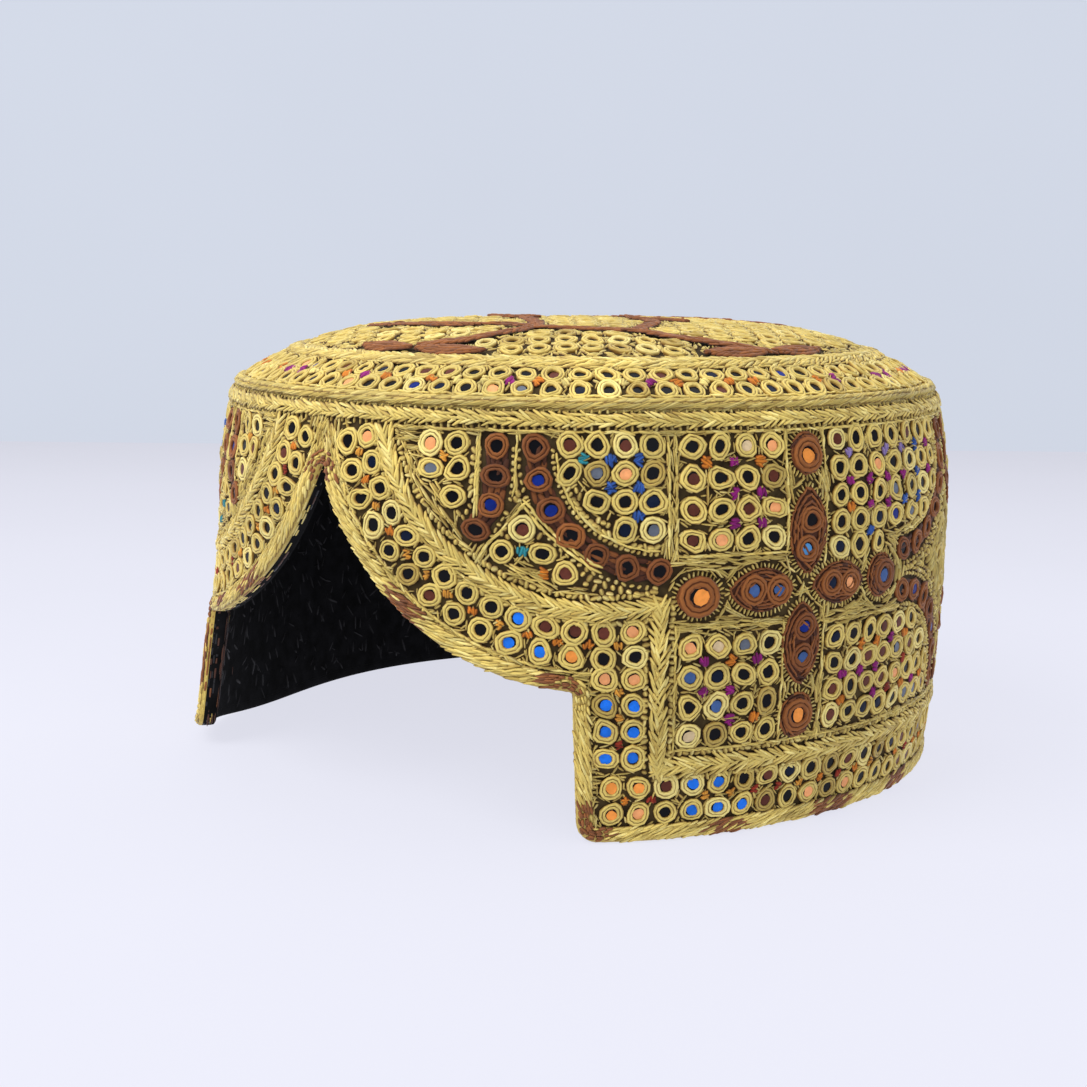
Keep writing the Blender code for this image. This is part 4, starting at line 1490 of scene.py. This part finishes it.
@dataclass
class WallNeedlework:
    """Braids, cords, coloured stitches, seeds and filling on the wall."""

    fields: WallFields
    motifs: BrownMotifs
    braid: Braid = field(default_factory=lambda: Braid(
        width=3.2, columns=4, pitch=1.70, lean=0.42, strand=(4.7, 0.90, 1.2), top=0.40, crown=0.45))
    rim: Braid = field(default_factory=lambda: Braid(
        width=2.5, columns=3, pitch=1.60, lean=0.36, strand=(4.0, 0.85, 1.0), top=0.25, crown=0.2))

    def border_path(self) -> np.ndarray:
        """The right half of the border braid's centre line."""
        start = HALF_TURN + math.asin((BORDER_CENTRE[1] - 91.0) / BORDER_BRAID_RADIUS)
        end = 2 * HALF_TURN - math.acos((BORDER_SIDE - BORDER_CENTRE[0]) / BORDER_BRAID_RADIUS)
        return arc(BORDER_CENTRE, BORDER_BRAID_RADIUS, start, end, 60)

    def drop_path(self) -> np.ndarray:
        """The border braid's run down the flap."""
        return np.linspace((BORDER_SIDE, 55.0), (BORDER_SIDE, BORDER_LOW - 1.5), 30)

    def low_path(self) -> np.ndarray:
        """The border braid's run from the flap to the back."""
        return np.linspace((BORDER_SIDE - 1.0, BORDER_LOW), (FORM.half_girth, BORDER_LOW), 120)

    def sew(self, finishes: Finishes) -> None:
        """Sew the braids, cords, seeds, coloured stitches and filling.

        Args:
            finishes: The materials.
        """
        work = Needlework(401)
        for path in (self.border_path(), self.drop_path(), self.low_path()):
            self.braid.lay(work, path)
            self.braid.lay(work, path * (-1, 1))
        braid = work.build("border_plait", FORM.wall, finishes.thread)
        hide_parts("border_braid")
        work = Needlework(402)
        girth = np.linspace((-FORM.half_girth, 93.5), (FORM.half_girth, 93.5), 200)
        self.rim.lay(work, girth)
        rim = work.build("rim_plait", FORM.wall, finishes.thread)
        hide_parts("rim_braid")
        self._fill(finishes)
        self._colour(finishes)

    def _seeds(self, work: Needlework, path: np.ndarray, across: float, pitch: float) -> None:
        """Lay small knots beside a path."""
        self._knots(work, Trail.along(path, pitch).beside(across))

    @staticmethod
    def _knots(work: Needlework, places: np.ndarray) -> None:
        """Lay small knots, each a little off its place."""
        count = len(places)
        size = work.sizes((1.8, 1.35, 1.5), 0.75, 1.2, count)
        angle = work.chance.uniform(0, HALF_TURN, count)
        shift = work.chance.normal(0, 0.10, (count, 2))
        work.stamp(SEED, places + shift, size, -0.85, work.gold(count), angle, uneven=0.2)

    @staticmethod
    def _ladder(work: Needlework, height: float, length: float, top: float) -> None:
        """Lay short upright stitches round the cap at a height, like a ladder's rungs."""
        path = np.linspace((-FORM.half_girth, height), (FORM.half_girth, height), 200)
        trail = Trail.along(path, 1.75)
        count = len(trail.places)
        size = work.sizes((length, 0.95, 1.1), 0.75, 1.2, count)
        angle = trail.heading + HALF_TURN / 2 + work.chance.normal(0, 0.15, count)
        work.stamp(SEED, trail.places, size, top - 0.5, work.gold(count), angle, uneven=0.2)

    def _fill(self, finishes: Finishes) -> None:
        """Sew the ground cloth, the cords, the seeds and the filling."""
        work = Needlework(410)
        work.sheet(320, 26, wall_sheet(95.3, GROUND_DEPTH), Thread.DARK_BROWN)
        cloth = work.build("ground_cloth", FORM.wall, finishes.ground)
        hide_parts("side_band")
        runs = [self.border_path(), self.drop_path(), self.low_path()]
        knots = self._trim(finishes, runs)
        self._stitch(finishes, runs, knots)

    def _trim(self, finishes: Finishes, runs: list[np.ndarray]) -> np.ndarray:
        """Sew the cords, the knots beside braids and bands, and the ladders.

        Args:
            finishes: The materials.
            runs: The right half's border braid.

        Returns:
            The places of the knots beside the brown bands.
        """
        work = Needlework(411)
        for path in self.fields.cords:
            FINE_CORD.lay(work, path)
        for path in runs:
            for run in (path, path * (-1, 1)):
                self._seeds(work, run, 2.85, 1.35)
                self._seeds(work, run, -2.85, 1.35)
        lobe = FORM.opening_edge(4.2)
        lobe = lobe[(lobe[:, 0] > 3.5) & (lobe[:, 1] > 40.0)]
        for run in (lobe, lobe * (-1, 1)):
            self._seeds(work, run, 0.0, 1.3)
        bands = [path for path, reach in self.motifs.keep_out if reach == BAND_REACH]
        braids = np.vstack([both_sides(Trail.along(path, 0.8).places) for path in runs])
        knots = []
        for path in bands:
            for across in (-6.6, -5.1, 5.1, 6.6):
                places = Trail.along(path, 1.45).beside(across)
                free = (self.fields.rings.near(np.abs(places))[0] > 3.5) & (places[:, 1] < 90.4)
                free &= clear_of(places, braids, 3.3) & clear_of(places, np.vstack(bands), abs(across) - 0.4)
                for other, reach in self.motifs.keep_out:
                    if reach != BAND_REACH:
                        free &= clear_of(places, other, reach)
                knots.append(places[free])
                self._knots(work, knots[-1])
        self._ladder(work, 91.6, 1.9, -0.45)
        self._ladder(work, 95.1, 1.4, -0.60)
        cords = work.build("cords_and_knots", FORM.wall, finishes.thread)
        return np.vstack(knots)

    def _stitch(self, finishes: Finishes, runs: list[np.ndarray], knots: np.ndarray) -> None:
        """Sew the filling stitches: round each ring, and with the nearest guide's flow in open ground.

        Args:
            finishes: The materials.
            runs: The right half's border braid.
            knots: Places that stay clear.
        """
        work = Needlework(412)
        half = FORM.half_girth
        spots = np.column_stack((
            work.chance.uniform(-half, half, FILLING_TRIES), work.chance.uniform(3.0, 91.2, FILLING_TRIES)))
        spots = spots[spots[:, 1] > low_edge(spots[:, 0], 3.4)]
        apart, angle = self.fields.rings.near(np.abs(spots))
        angle = np.where(spots[:, 0] < 0, HALF_TURN - angle, angle)
        stays = (apart > 2.75) & (work.chance.random(len(spots)) < np.where(apart > 3.9, 1.0, 0.42))
        spots, apart, angle = spots[stays], apart[stays], angle[stays]
        braids = np.vstack([both_sides(Trail.along(path, 0.8).places) for path in runs])
        free = clear_of(spots, braids, 3.4) & clear_of(spots, round_back(knots), 1.25)
        for path, reach in self.motifs.keep_out:
            free &= clear_of(spots, round_back(path), reach)
        spots, apart, angle = spots[free], apart[free], angle[free]
        count = len(spots)
        LOG.info("filling stitches: %d", count)
        outlines = [path for path, reach in self.motifs.keep_out if reach != BAND_REACH]
        trails = [Trail.along(path, 1.0) for path in (*runs, *self.fields.cords, *outlines)]
        number = nearest(np.abs(spots), np.vstack([trail.places for trail in trails]))[1]
        flow = np.concatenate([trail.heading for trail in trails])[number]
        flow = np.where(spots[:, 0] < 0, HALF_TURN - flow, flow)
        open_space = apart > 4.1
        size = work.sizes((2.1, 0.55, 0.9), 0.7, 1.35, count)
        size[open_space] *= (1.9, 1.1, 1.3)
        lean = np.where(open_space, flow, angle + HALF_TURN / 2)
        lean += work.chance.normal(0, 0.26, count) * np.where(open_space, 0.7, 1.0)
        depth = GROUND_DEPTH + work.chance.uniform(0.0, 0.35, count) + 0.1 * open_space
        work.stamp(SEED, spots, size, depth, work.gold(count), lean, uneven=0.22)
        filling = work.build("filling_stitches", FORM.wall, finishes.thread)

    def _colour(self, finishes: Finishes) -> None:
        """Sew the coloured stitches in the gaps between four rings."""
        work = Needlework(420)
        for kind, shares in CELL_THREADS.items():
            places = np.array([(s, z) for s, z, threads in self.fields.cells if threads == kind])
            if not len(places):
                continue
            places = places[work.chance.random(len(places)) < CELLS_SEWN]
            sew_cells(work, places, shares, 0.78 if kind == "strip" else 1.0)
        stitches = work.build("coloured_stitches", FORM.wall, finishes.brown)


def sew_cells(work: Needlework, places: np.ndarray, shares: tuple[tuple[Thread, float], ...],
              scale: float = 1.0) -> None:
    """Sew a small bundle of coloured stitches at each place.

    Args:
        work: Where the stitches go.
        places: Rows of two layout coordinates.
        shares: The threads and how often each is picked.
        scale: The bundles' size as a share of the usual one.
    """
    count = len(places)
    tint = work.mix(count, *shares)
    lead = work.chance.choice((0.0, HALF_TURN / 2), count)
    sideways = np.column_stack((-np.sin(lead), np.cos(lead)))
    for step in range(5):
        shift = sideways * (step - 2) * 0.42 * scale + work.chance.normal(0, 0.14, (count, 2))
        size = work.sizes((3.1 - 0.45 * abs(step - 2), 1.1, 1.2), 0.75, 1.15, count) * scale
        angle = lead + work.chance.normal(0, 0.45, count)
        work.stamp(SEED, places + shift, size, -0.62 + 0.05 * step, tint, angle, uneven=0.3)


FRAYED_FIBRES = 70
RIDGE_STITCHES = 560
EDGE_PROFILE = np.array([
    # inset from the edge, depth
    (3.5, -1.0), (3.4, -0.4), (2.9, -0.05), (1.9, 0.05), (0.8, 0.0), (0.15, -0.4), (0.0, -1.3), (0.0, -2.4),
    (0.0, -3.6), (0.15, -4.4), (0.9, -4.75), (2.6, -4.8),
])


def wrap_edge(profile: np.ndarray) -> tuple[Layout, int, int]:
    """A rule that wraps a grid round the free edge.

    Args:
        profile: Rows of inset and depth.

    Returns:
        The rule, and how many squares the grid has across and along the edge.
    """
    edges = np.array([FORM.free_edge(inset) for inset in profile[:, 0]])
    last = len(edges[0]) - 1

    def place(across: np.ndarray, along: np.ndarray) -> np.ndarray:
        """Spots on the profile, carried along the edge."""
        row = np.rint(along * (len(profile) - 1)).astype(int)
        column = np.rint(across * last).astype(int)
        return np.column_stack((edges[row, column], profile[row, 1]))

    return place, len(profile) - 1, last


@dataclass
class Edging:
    """The thread binding round the free edge, with its worn brown places as s, z and reach."""

    worn: tuple[tuple[float, float, float], ...] = (
        (0, 81, 4.0), (23, 51, 4.5), (58, 37, 4.0), (63, 3, 5.5), (96, 1, 4), (126, 1, 5.5), (154, 1, 5),
        (-27, 49, 4.5), (-72, 1, 4), (190, 1, 4), (228, 1, 5), (268, 1, 4), (-110, 1, 5), (-150, 1, 4),
        (-205, 1, 5), (-250, 1, 4), (-45, 41, 3), (-61, 15, 4), (-61, 22, 6), (-61, 32, 5),
    )

    def sew(self, finishes: Finishes) -> None:
        """Sew the core of the binding and its strands.

        Args:
            finishes: The materials.
        """
        work = Needlework(501)
        place, rows, last = wrap_edge(EDGE_PROFILE[:7])
        work.sheet(last, rows, place, Thread.OLD_GOLD)
        for across, top in ((1.45, 0.20), (0.85, 0.40), (0.25, 0.48), (-0.35, 0.48), (-0.95, 0.30)):
            trail = Trail.along(FORM.free_edge(1.8), 1.75, start=work.chance.uniform(0.2, 0.8))
            count = len(trail.places)
            places = trail.beside(across + work.chance.normal(0, 0.10, count))
            size = work.sizes((4.2, 0.80, 1.3), 0.75, 1.25, count)
            calm = self._calm(trail.heading)
            size[:, 0] *= calm
            angle = trail.heading + 0.30 * calm + work.chance.normal(0, 0.10, count)
            tint = self._tint(work, places)
            work.stamp(STRAND, places, size, top - 0.5, tint, angle, uneven=0.18, rough=0.03)
        for depth in (-0.9, -1.6, -2.3, -3.0):
            trail = Trail.along(FORM.free_edge(0.35), 2.2, start=work.chance.uniform(0.2, 0.8))
            count = len(trail.places)
            size = work.sizes((4.8, 0.9, 0.85), 0.75, 1.2, count)
            size[:, 0] *= self._calm(trail.heading)
            angle = trail.heading + work.chance.normal(0, 0.04, count)
            tint = self._tint(work, trail.places)
            hidden = (trail.places[:, 0] < -59) & (trail.places[:, 1] < 38) | (depth < -2.7)
            dark = work.mix(count, (Thread.DARK_BROWN, 0.35), (Thread.BLACK, 0.6), (Thread.BROWN, 0.05))
            tint[hidden & (depth < -1.2)] = dark[hidden & (depth < -1.2)]
            work.stamp(WHOLE, trail.places, size, depth, tint, angle, uneven=0.15)
        self._frayed(work)
        binding = work.build("edge_threads", FORM.wall, finishes.thread)
        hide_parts("edge_binding")

    def _frayed(self, work: Needlework) -> None:
        """Lay loose fibres on the left flap's edge face and over the lining behind it."""
        face = -FORM.flap_edge - 0.15
        kinds = ((WHOLE, 0.0, 0.1, 0.03, -4.5, -1.7), (INNER, 0.95, 5.0, 0.3, -4.76, -4.74))
        for shape, gap, spread, lean, low, high in kinds:
            count = FRAYED_FIBRES
            behind = gap + np.abs(work.chance.normal(0, spread, count))
            places = np.column_stack((face - behind, work.chance.uniform(2.0, 38.0, count)))
            turn = work.chance.normal(0, lean, count)
            size = work.sizes((6.5, 0.27, 0.35), 0.5, 1.5, count)
            room = (behind + 0.15) / np.maximum(np.abs(np.sin(turn)), 0.01)
            size[:, 0] = np.minimum.reduce((size[:, 0], places[:, 1] - 0.5, room))
            tint = work.mix(count, (Thread.BROWN, 0.08), (Thread.OLD_GOLD, 0.07), (Thread.DARK_BROWN, 0.85))
            depth = work.chance.uniform(low, high, count)
            work.stamp(shape, places, size, depth, tint, HALF_TURN / 2 + turn, uneven=0.3)

    @staticmethod
    def _calm(heading: np.ndarray) -> np.ndarray:
        """1 on straight runs, falling to 0.4 where the edge turns within a few strands."""
        bend = np.zeros(len(heading))
        for step in (-3, -2, -1, 1, 2, 3):
            turn = np.angle(np.exp(1j * (np.roll(heading, step) - heading)))
            bend = np.maximum(bend, np.abs(turn))
        return np.clip(1.15 - 0.75 * bend, 0.4, 1.0)

    def _tint(self, work: Needlework, places: np.ndarray) -> np.ndarray:
        """Gold threads, turned brown in the worn places."""
        tint = work.gold(len(places))
        brown = work.mix(len(places), (Thread.BROWN, 0.5), (Thread.RUST, 0.5))
        for s, z, reach in self.worn:
            apart = np.hypot(*(places - (s, z)).T)
            worn = work.chance.random(len(places)) < np.clip(1.5 - apart / reach, 0, 0.85)
            tint[worn] = brown[worn]
        return tint


@dataclass
class RidgeCord:
    """The cord along the ridge between wall and crown."""

    def sew(self, finishes: Finishes) -> None:
        """Sew the cord's core and its strands.

        Args:
            finishes: The materials.
        """
        work = Needlework(601)
        length = FULL_TURN * FORM.ridge_ring
        girth = FULL_TURN * FORM.ridge_radius

        def core(across: np.ndarray, along: np.ndarray) -> np.ndarray:
            """Spots on the cord's round core."""
            return np.column_stack((across * length, along * girth, np.full(len(across), -0.35)))

        work.sheet(220, 12, core, Thread.OLD_GOLD)
        count = RIDGE_STITCHES
        for across in (-1.4, 0.3, 2.0, 3.7):
            along = (np.arange(count) + work.chance.uniform(0.3, 0.7, count)) * length / count
            places = np.column_stack((along, np.full(count, across)))
            size = work.sizes((5.8, 1.0, 1.3), 0.8, 1.2, count)
            angle = 0.24 + work.chance.normal(0, 0.12, count)
            work.stamp(SEED, places, size, -0.40, work.gold(count), angle, uneven=0.2)
        cord = work.build("ridge_threads", FORM.ridge, finishes.thread)
        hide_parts("ridge_cord")


@dataclass
class Star:
    """The crown's brown star: lines through its knots, and leaves at its tips and on its arms."""

    near: Points = (
        (6.5, -70.5), (15.5, -62.0), (19.0, -51.0), (20.0, -43.5), (31.0, -38.5), (41.5, -32.5),
        (51.0, -31.0), (60.5, -26.5), (70.0, -18.5),
    )
    side: Points = ((41.5, -32.5), (30.0, -10.0), (10.0, 12.0), (-8.0, 30.0), (-20.0, 43.5))
    branch: Points = ((20.0, -43.5), (9.0, -41.5), (-1.0, -46.5), (-14.0, -47.3), (-35.0, -45.0))
    arm_leaves: tuple[Points, ...] = (
        ((12.0, 4.5), (22.0, 5.0), (32.0, 2.5)), ((4.0, -46.0), (-6.0, -47.6), (-16.0, -47.0)),
    )
    tip_leaves: tuple[tuple[float, float, float], ...] = (
        (-2.4, 71.8, 8.2), (12.8, 72.4, 9.0), (67.7, 72.4, 9.0), (82.9, 72.2, 8.8),
    )

    def lines(self) -> list[np.ndarray]:
        """The star's centre lines: those listed, and their copies half a turn on."""
        paths = [smooth(points) for points in (self.near, self.side, self.branch)]
        return paths + [-path for path in paths]

    def leaves(self) -> list[np.ndarray]:
        """The leaves' centre lines."""
        paths = [smooth(points) for points in self.arm_leaves]
        for degrees, radius, reach in self.tip_leaves:
            turn = math.radians(degrees - 90)
            paths.append(arc((0, 0), radius, turn - reach / radius, turn + reach / radius, 24))
        return paths + [-path for path in paths]

    def sew(self, finishes: Finishes) -> None:
        """Sew the star's lines and leaves.

        Args:
            finishes: The materials.
        """
        work = Needlework(701)
        line = Braid(width=3.0, columns=3, pitch=1.9, lean=0.3, strand=(4.6, 1.35, 1.1), top=0.45, crown=0.2)
        for path in self.lines():
            line.lay(work, path, tint=BrownMotifs.rust(work))
        for path in self.leaves():
            trail = Trail.along(path, 1.5)
            count = len(trail.places)
            full = np.sin(HALF_TURN * (np.arange(count) + 0.5) / count)
            for share in (-0.9, -0.45, 0.0, 0.45, 0.9):
                size = work.sizes((4.2, 1.25, 1.1), 0.8, 1.2, count)
                size[:, 0] *= 0.45 + 0.55 * full
                angle = trail.heading - share * 0.3 + work.chance.normal(0, 0.12, count)
                tint = BrownMotifs.rust(work)(count)
                places = trail.beside(2.5 * full * share)
                work.stamp(STRAND, places, size, 0.15 - 0.4 * share ** 2, tint, angle, uneven=0.2)
        star = work.build("star_threads", FORM.crown, finishes.brown)
        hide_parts("star_near_line", "star_far_line", "star_left_line", "star_right_line",
                    "star_leaves_1", "star_leaves_2", "star_leaves_3", "star_leaves_4")


CROWN_PLAIT = Braid(width=3.5, columns=4, pitch=1.75, lean=0.40, strand=(5.0, 0.95, 1.2), top=0.35, crown=0.4)
BORDER_RINGS = 86
FIELD_PITCH = 6.2
CROWN_FILLING_TRIES = 18000


@dataclass
class CrownNeedlework:
    """The crown's ground, ring fields, plaited ring and filling."""

    star: Star
    rings: Rings = field(default_factory=Rings)
    edge: float = 89.6
    plait_radius: float = 77.0

    def sew(self, finishes: Finishes) -> None:
        """Sew the crown.

        Args:
            finishes: The materials.
        """
        work = Needlework(801)
        work.sheet(160, 34, crown_sheet(self.edge, GROUND_DEPTH), Thread.DARK_BROWN)
        cloth = work.build("crown_ground", FORM.crown, finishes.ground, weld=True)
        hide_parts("crown_panel")
        cells = self._border()
        self._field()
        for piece in lay_rings(self.rings, 805, "crown", FORM.crown, finishes, squash=(0.97, 0.97, 1.35)):
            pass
        work = Needlework(806)
        loop = arc((0, 0), self.plait_radius, 0, FULL_TURN, 200)
        CROWN_PLAIT.lay(work, loop)
        ring = work.build("crown_plait", FORM.crown, finishes.thread)
        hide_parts("crown_ring")
        self._fill(finishes, cells)

    def _border(self) -> np.ndarray:
        """Note the border's two rows of rings, and return the gaps between them."""
        turns = np.linspace(0, FULL_TURN, BORDER_RINGS, endpoint=False)
        for radius in (82.2, 87.4):
            self.rings.add(around(turns, radius), size=0.95)
        return around(turns + HALF_TURN / BORDER_RINGS, 84.8)

    def _field(self) -> None:
        """Note the rings inside the plaited ring, clear of the star."""
        steps = np.arange(-12, 13)
        x, y = np.meshgrid(steps * FIELD_PITCH, steps * FIELD_PITCH)
        spots = np.column_stack((x.ravel(), y.ravel()))
        turn = math.radians(40)
        spots = spots @ np.array(((math.cos(turn), math.sin(turn)), (-math.sin(turn), math.cos(turn))))
        spots = spots[np.hypot(*spots.T) < 71.5]
        paths = np.vstack(self.star.lines())
        free = clear_of(spots, paths, 4.5) & clear_of(spots, np.vstack(self.star.leaves()), 5.2)
        self.rings.add(spots[free], MirrorReflection.BLACK)

    def _fill(self, finishes: Finishes, cells: np.ndarray) -> None:
        """Sew the filling, the cords and the coloured stitches."""
        work = Needlework(807)
        for radius in (79.1, 74.9, 89.3):
            FINE_CORD.lay(work, arc((0, 0), radius, 0, FULL_TURN, 200))
        spots = work.chance.uniform(-self.edge, self.edge, (CROWN_FILLING_TRIES, 2))
        reach = np.hypot(*spots.T)
        spots = spots[(reach < self.edge) & (np.abs(reach - self.plait_radius) > 2.2)]
        apart, angle = self.rings.near(spots)
        lines = np.vstack((*self.star.lines(), *self.star.leaves()))
        stays = (apart > 2.8) & clear_of(spots, lines, 1.8)
        spots, angle = spots[stays], angle[stays]
        count = len(spots)
        LOG.info("crown filling stitches: %d", count)
        size = work.sizes((2.4, 0.6, 1.0), 0.7, 1.35, count)
        lean = angle + HALF_TURN / 2 + work.chance.normal(0, 0.3, count)
        depth = GROUND_DEPTH + work.chance.uniform(0.05, 0.4, count)
        work.stamp(SEED, spots, size, depth, work.gold(count), lean, uneven=0.2)
        filling = work.build("crown_filling", FORM.crown, finishes.thread)
        work = Needlework(808)
        sew_cells(work, cells[work.chance.random(len(cells)) < 0.8], CELL_THREADS["crown"])
        stitches = work.build("crown_coloured_stitches", FORM.crown, finishes.brown)


LINING_TRIES = 3000


@dataclass
class Lining:
    """The black lining with its faint stitches."""

    depth: float = -4.78

    def sew(self, finishes: Finishes) -> None:
        """Sew the lining's wall and crown.

        Args:
            finishes: The materials.
        """
        work = Needlework(901)
        work.sheet(300, 20, wall_sheet(96.0, self.depth, way=-1), Thread.BLACK)
        place, rows, last = wrap_edge(EDGE_PROFILE[6:])
        work.sheet(last, rows, place, Thread.BLACK)
        side = work.build("lining_wall", FORM.wall, finishes.lining)
        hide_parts("lining")
        work = Needlework(902)
        work.sheet(120, 20, crown_sheet(90.4, -4.6, way=-1), Thread.BLACK)
        top = work.build("lining_crown", FORM.crown, finishes.lining)
        work = Needlework(903)
        half = FORM.half_girth
        places = np.column_stack((
            work.chance.uniform(-half, half, LINING_TRIES), work.chance.uniform(3, 92, LINING_TRIES)))
        places = places[places[:, 1] > low_edge(places[:, 0], 3.5)]
        count = len(places)
        size = work.sizes((3.4, 0.75, 0.5), 0.4, 1.5, count)
        angle = HALF_TURN / 2 + work.chance.normal(0, 0.6, count)
        tint = work.mix(count, (Thread.BLACK, 0.55), (Thread.CHARCOAL, 0.435), (Thread.DARK_BROWN, 0.015))
        work.stamp(SEED.inwards(), places, size, self.depth + 0.03, tint, angle, uneven=0.3)
        stitches = work.build("lining_stitches", FORM.wall, finishes.seams)


@dataclass(frozen=True)
class Studio:
    """Camera, lights, floor and backdrop."""

    eye: tuple[float, float, float] = (276.3, -351.3, 124.3)
    aim: tuple[float, float, float] = (-8.13, -6.39, 51.3)
    roll: float = math.radians(0.56)
    lens: float = 54.72
    wall_distance: float = 1199.0

    def build(self) -> None:
        """Set the camera and build the stage."""
        scene = bpy.context.scene
        eye = Vector(self.eye) * MM
        camera = bpy.data.objects.new("camera", bpy.data.cameras.new("camera"))
        camera.data.lens = self.lens
        camera.data.sensor_width = 36.0
        camera.data.clip_start = 0.01
        camera.data.clip_end = 50.0
        camera.location = eye
        look = (Vector(self.aim) * MM - eye).to_track_quat("-Z", "Y").to_matrix().to_4x4()
        camera.matrix_world = Matrix.Translation(eye) @ look @ Matrix.Rotation(self.roll, 4, "Z")
        scene.collection.objects.link(camera)
        scene.camera = camera
        scene.view_settings.view_transform = "Standard"
        heading = (Vector(self.aim) - Vector(self.eye)) * Vector((1, 1, 0))
        heading.normalize()
        floor = self._plane("floor", (0.805, 0.812, 0.915), heading)
        wall = self._plane("backdrop", (0.64, 0.685, 0.785), Vector((0, 0, 0)))
        base = Vector((eye.x, eye.y, 0)) + heading * self.wall_distance * MM
        wall.matrix_world = Matrix.Translation(base) @ heading.to_track_quat("-Z", "Y").to_matrix().to_4x4()
        world = bpy.data.worlds.new("studio")
        world.use_nodes = True
        background = world.node_tree.nodes["Background"]
        background.inputs["Color"].default_value = (0.93, 0.95, 1.0, 1.0)
        background.inputs["Strength"].default_value = 0.45
        scene.world = world
        self._light("key", (-0.35, -0.80, 1.15), 0.9, 17.0, (1.0, 0.975, 0.93))
        self._light("fill", (1.2, -0.6, 0.7), 1.2, 4.0, (0.93, 0.96, 1.0))
        self._light("top", (0.1, 0.5, 1.5), 1.4, 7.0, (1.0, 1.0, 1.0))

    @staticmethod
    def _plane(name: str, colour: tuple[float, float, float], far: Vector) -> bpy.types.Object:
        """A large flat glowing sheet with faint mottling, with painted shade darker towards one side."""
        shape = bmesh.new()
        bmesh.ops.create_grid(shape, x_segments=1, y_segments=1, size=3.0)
        mesh = bpy.data.meshes.new(name)
        shape.to_mesh(mesh)
        shape.free()
        material, bench, shader = start_material(name)
        shader.inputs["Roughness"].default_value = 0.8
        shader.inputs["Specular IOR Level"].default_value = 0.15
        ageing = bench.add("ShaderNodeGroup", "mottling", node_tree=ageing_group())
        ageing.inputs["Scale"].default_value = 3.0
        ramp = bench.add("ShaderNodeValToRGB", "paper")
        for element, light in zip(ramp.color_ramp.elements, (0.97, 1.03)):
            element.color = (*[channel * light for channel in colour], 1.0)
        bench.join(ageing.outputs["Mask"], ramp.inputs["Fac"])
        place = bench.add("ShaderNodeTexCoord")
        away = bench.add("ShaderNodeVectorMath", "way to the far side", operation="DOT_PRODUCT")
        away.inputs[1].default_value = far * 1.35
        bench.join(place.outputs["Object"], away.inputs[0])
        # Painted shade: the floor's glow is painted darker towards the far side, where less light reaches it.
        dimming = bench.grey(away.outputs["Value"], 1.0, 0.77, "darker far away")
        paper = bench.multiply(ramp.outputs["Color"], dimming, "paper in depth")
        bench.join(paper, shader.inputs["Emission Color"])
        shader.inputs["Emission Strength"].default_value = 0.88
        shader.inputs["Base Color"].default_value = (*[channel * 0.12 for channel in colour], 1.0)
        mesh.materials.append(material)
        sheet = bpy.data.objects.new(name, mesh)
        bpy.context.scene.collection.objects.link(sheet)
        return sheet

    @staticmethod
    def _light(name: str, place: tuple[float, float, float], size: float, power: float,
               colour: tuple[float, float, float]) -> None:
        """A soft square light that points at the cap."""
        light = bpy.data.lights.new(name, "AREA")
        light.size = size
        light.energy = power
        light.color = colour
        lamp = bpy.data.objects.new(name, light)
        lamp.location = place
        lamp.rotation_euler = (Vector((0, 0, 0.05)) - Vector(place)).to_track_quat("-Z", "Y").to_euler()
        bpy.context.scene.collection.objects.link(lamp)


def main() -> None:
    """Dress the cap piece by piece."""
    logging.basicConfig(level=logging.INFO, format="%(message)s")
    finishes = Finishes()
    motifs = BrownMotifs([
        Cross(SIDE_CROSS, mirrored=False, open_front=True),
        Cross(FORM.half_girth, mirrored=False, open_front=False),
        Cross(-SIDE_CROSS, mirrored=True, open_front=True),
    ])
    bands = [Trail.along(path, 0.8).places for cross in motifs.crosses for path in motifs.bead_paths(cross)]
    fields = WallFields(np.vstack(bands))
    fields.draw()
    motifs.sew(finishes)
    for piece in lay_rings(fields.rings, 201, "wall", FORM.wall, finishes):
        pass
    WallNeedlework(fields, motifs).sew(finishes)
    Edging().sew(finishes)
    RidgeCord().sew(finishes)
    star = Star()
    star.sew(finishes)
    CrownNeedlework(star).sew(finishes)
    Lining().sew(finishes)
    Studio().build()


if __name__ == "__main__":
    main()
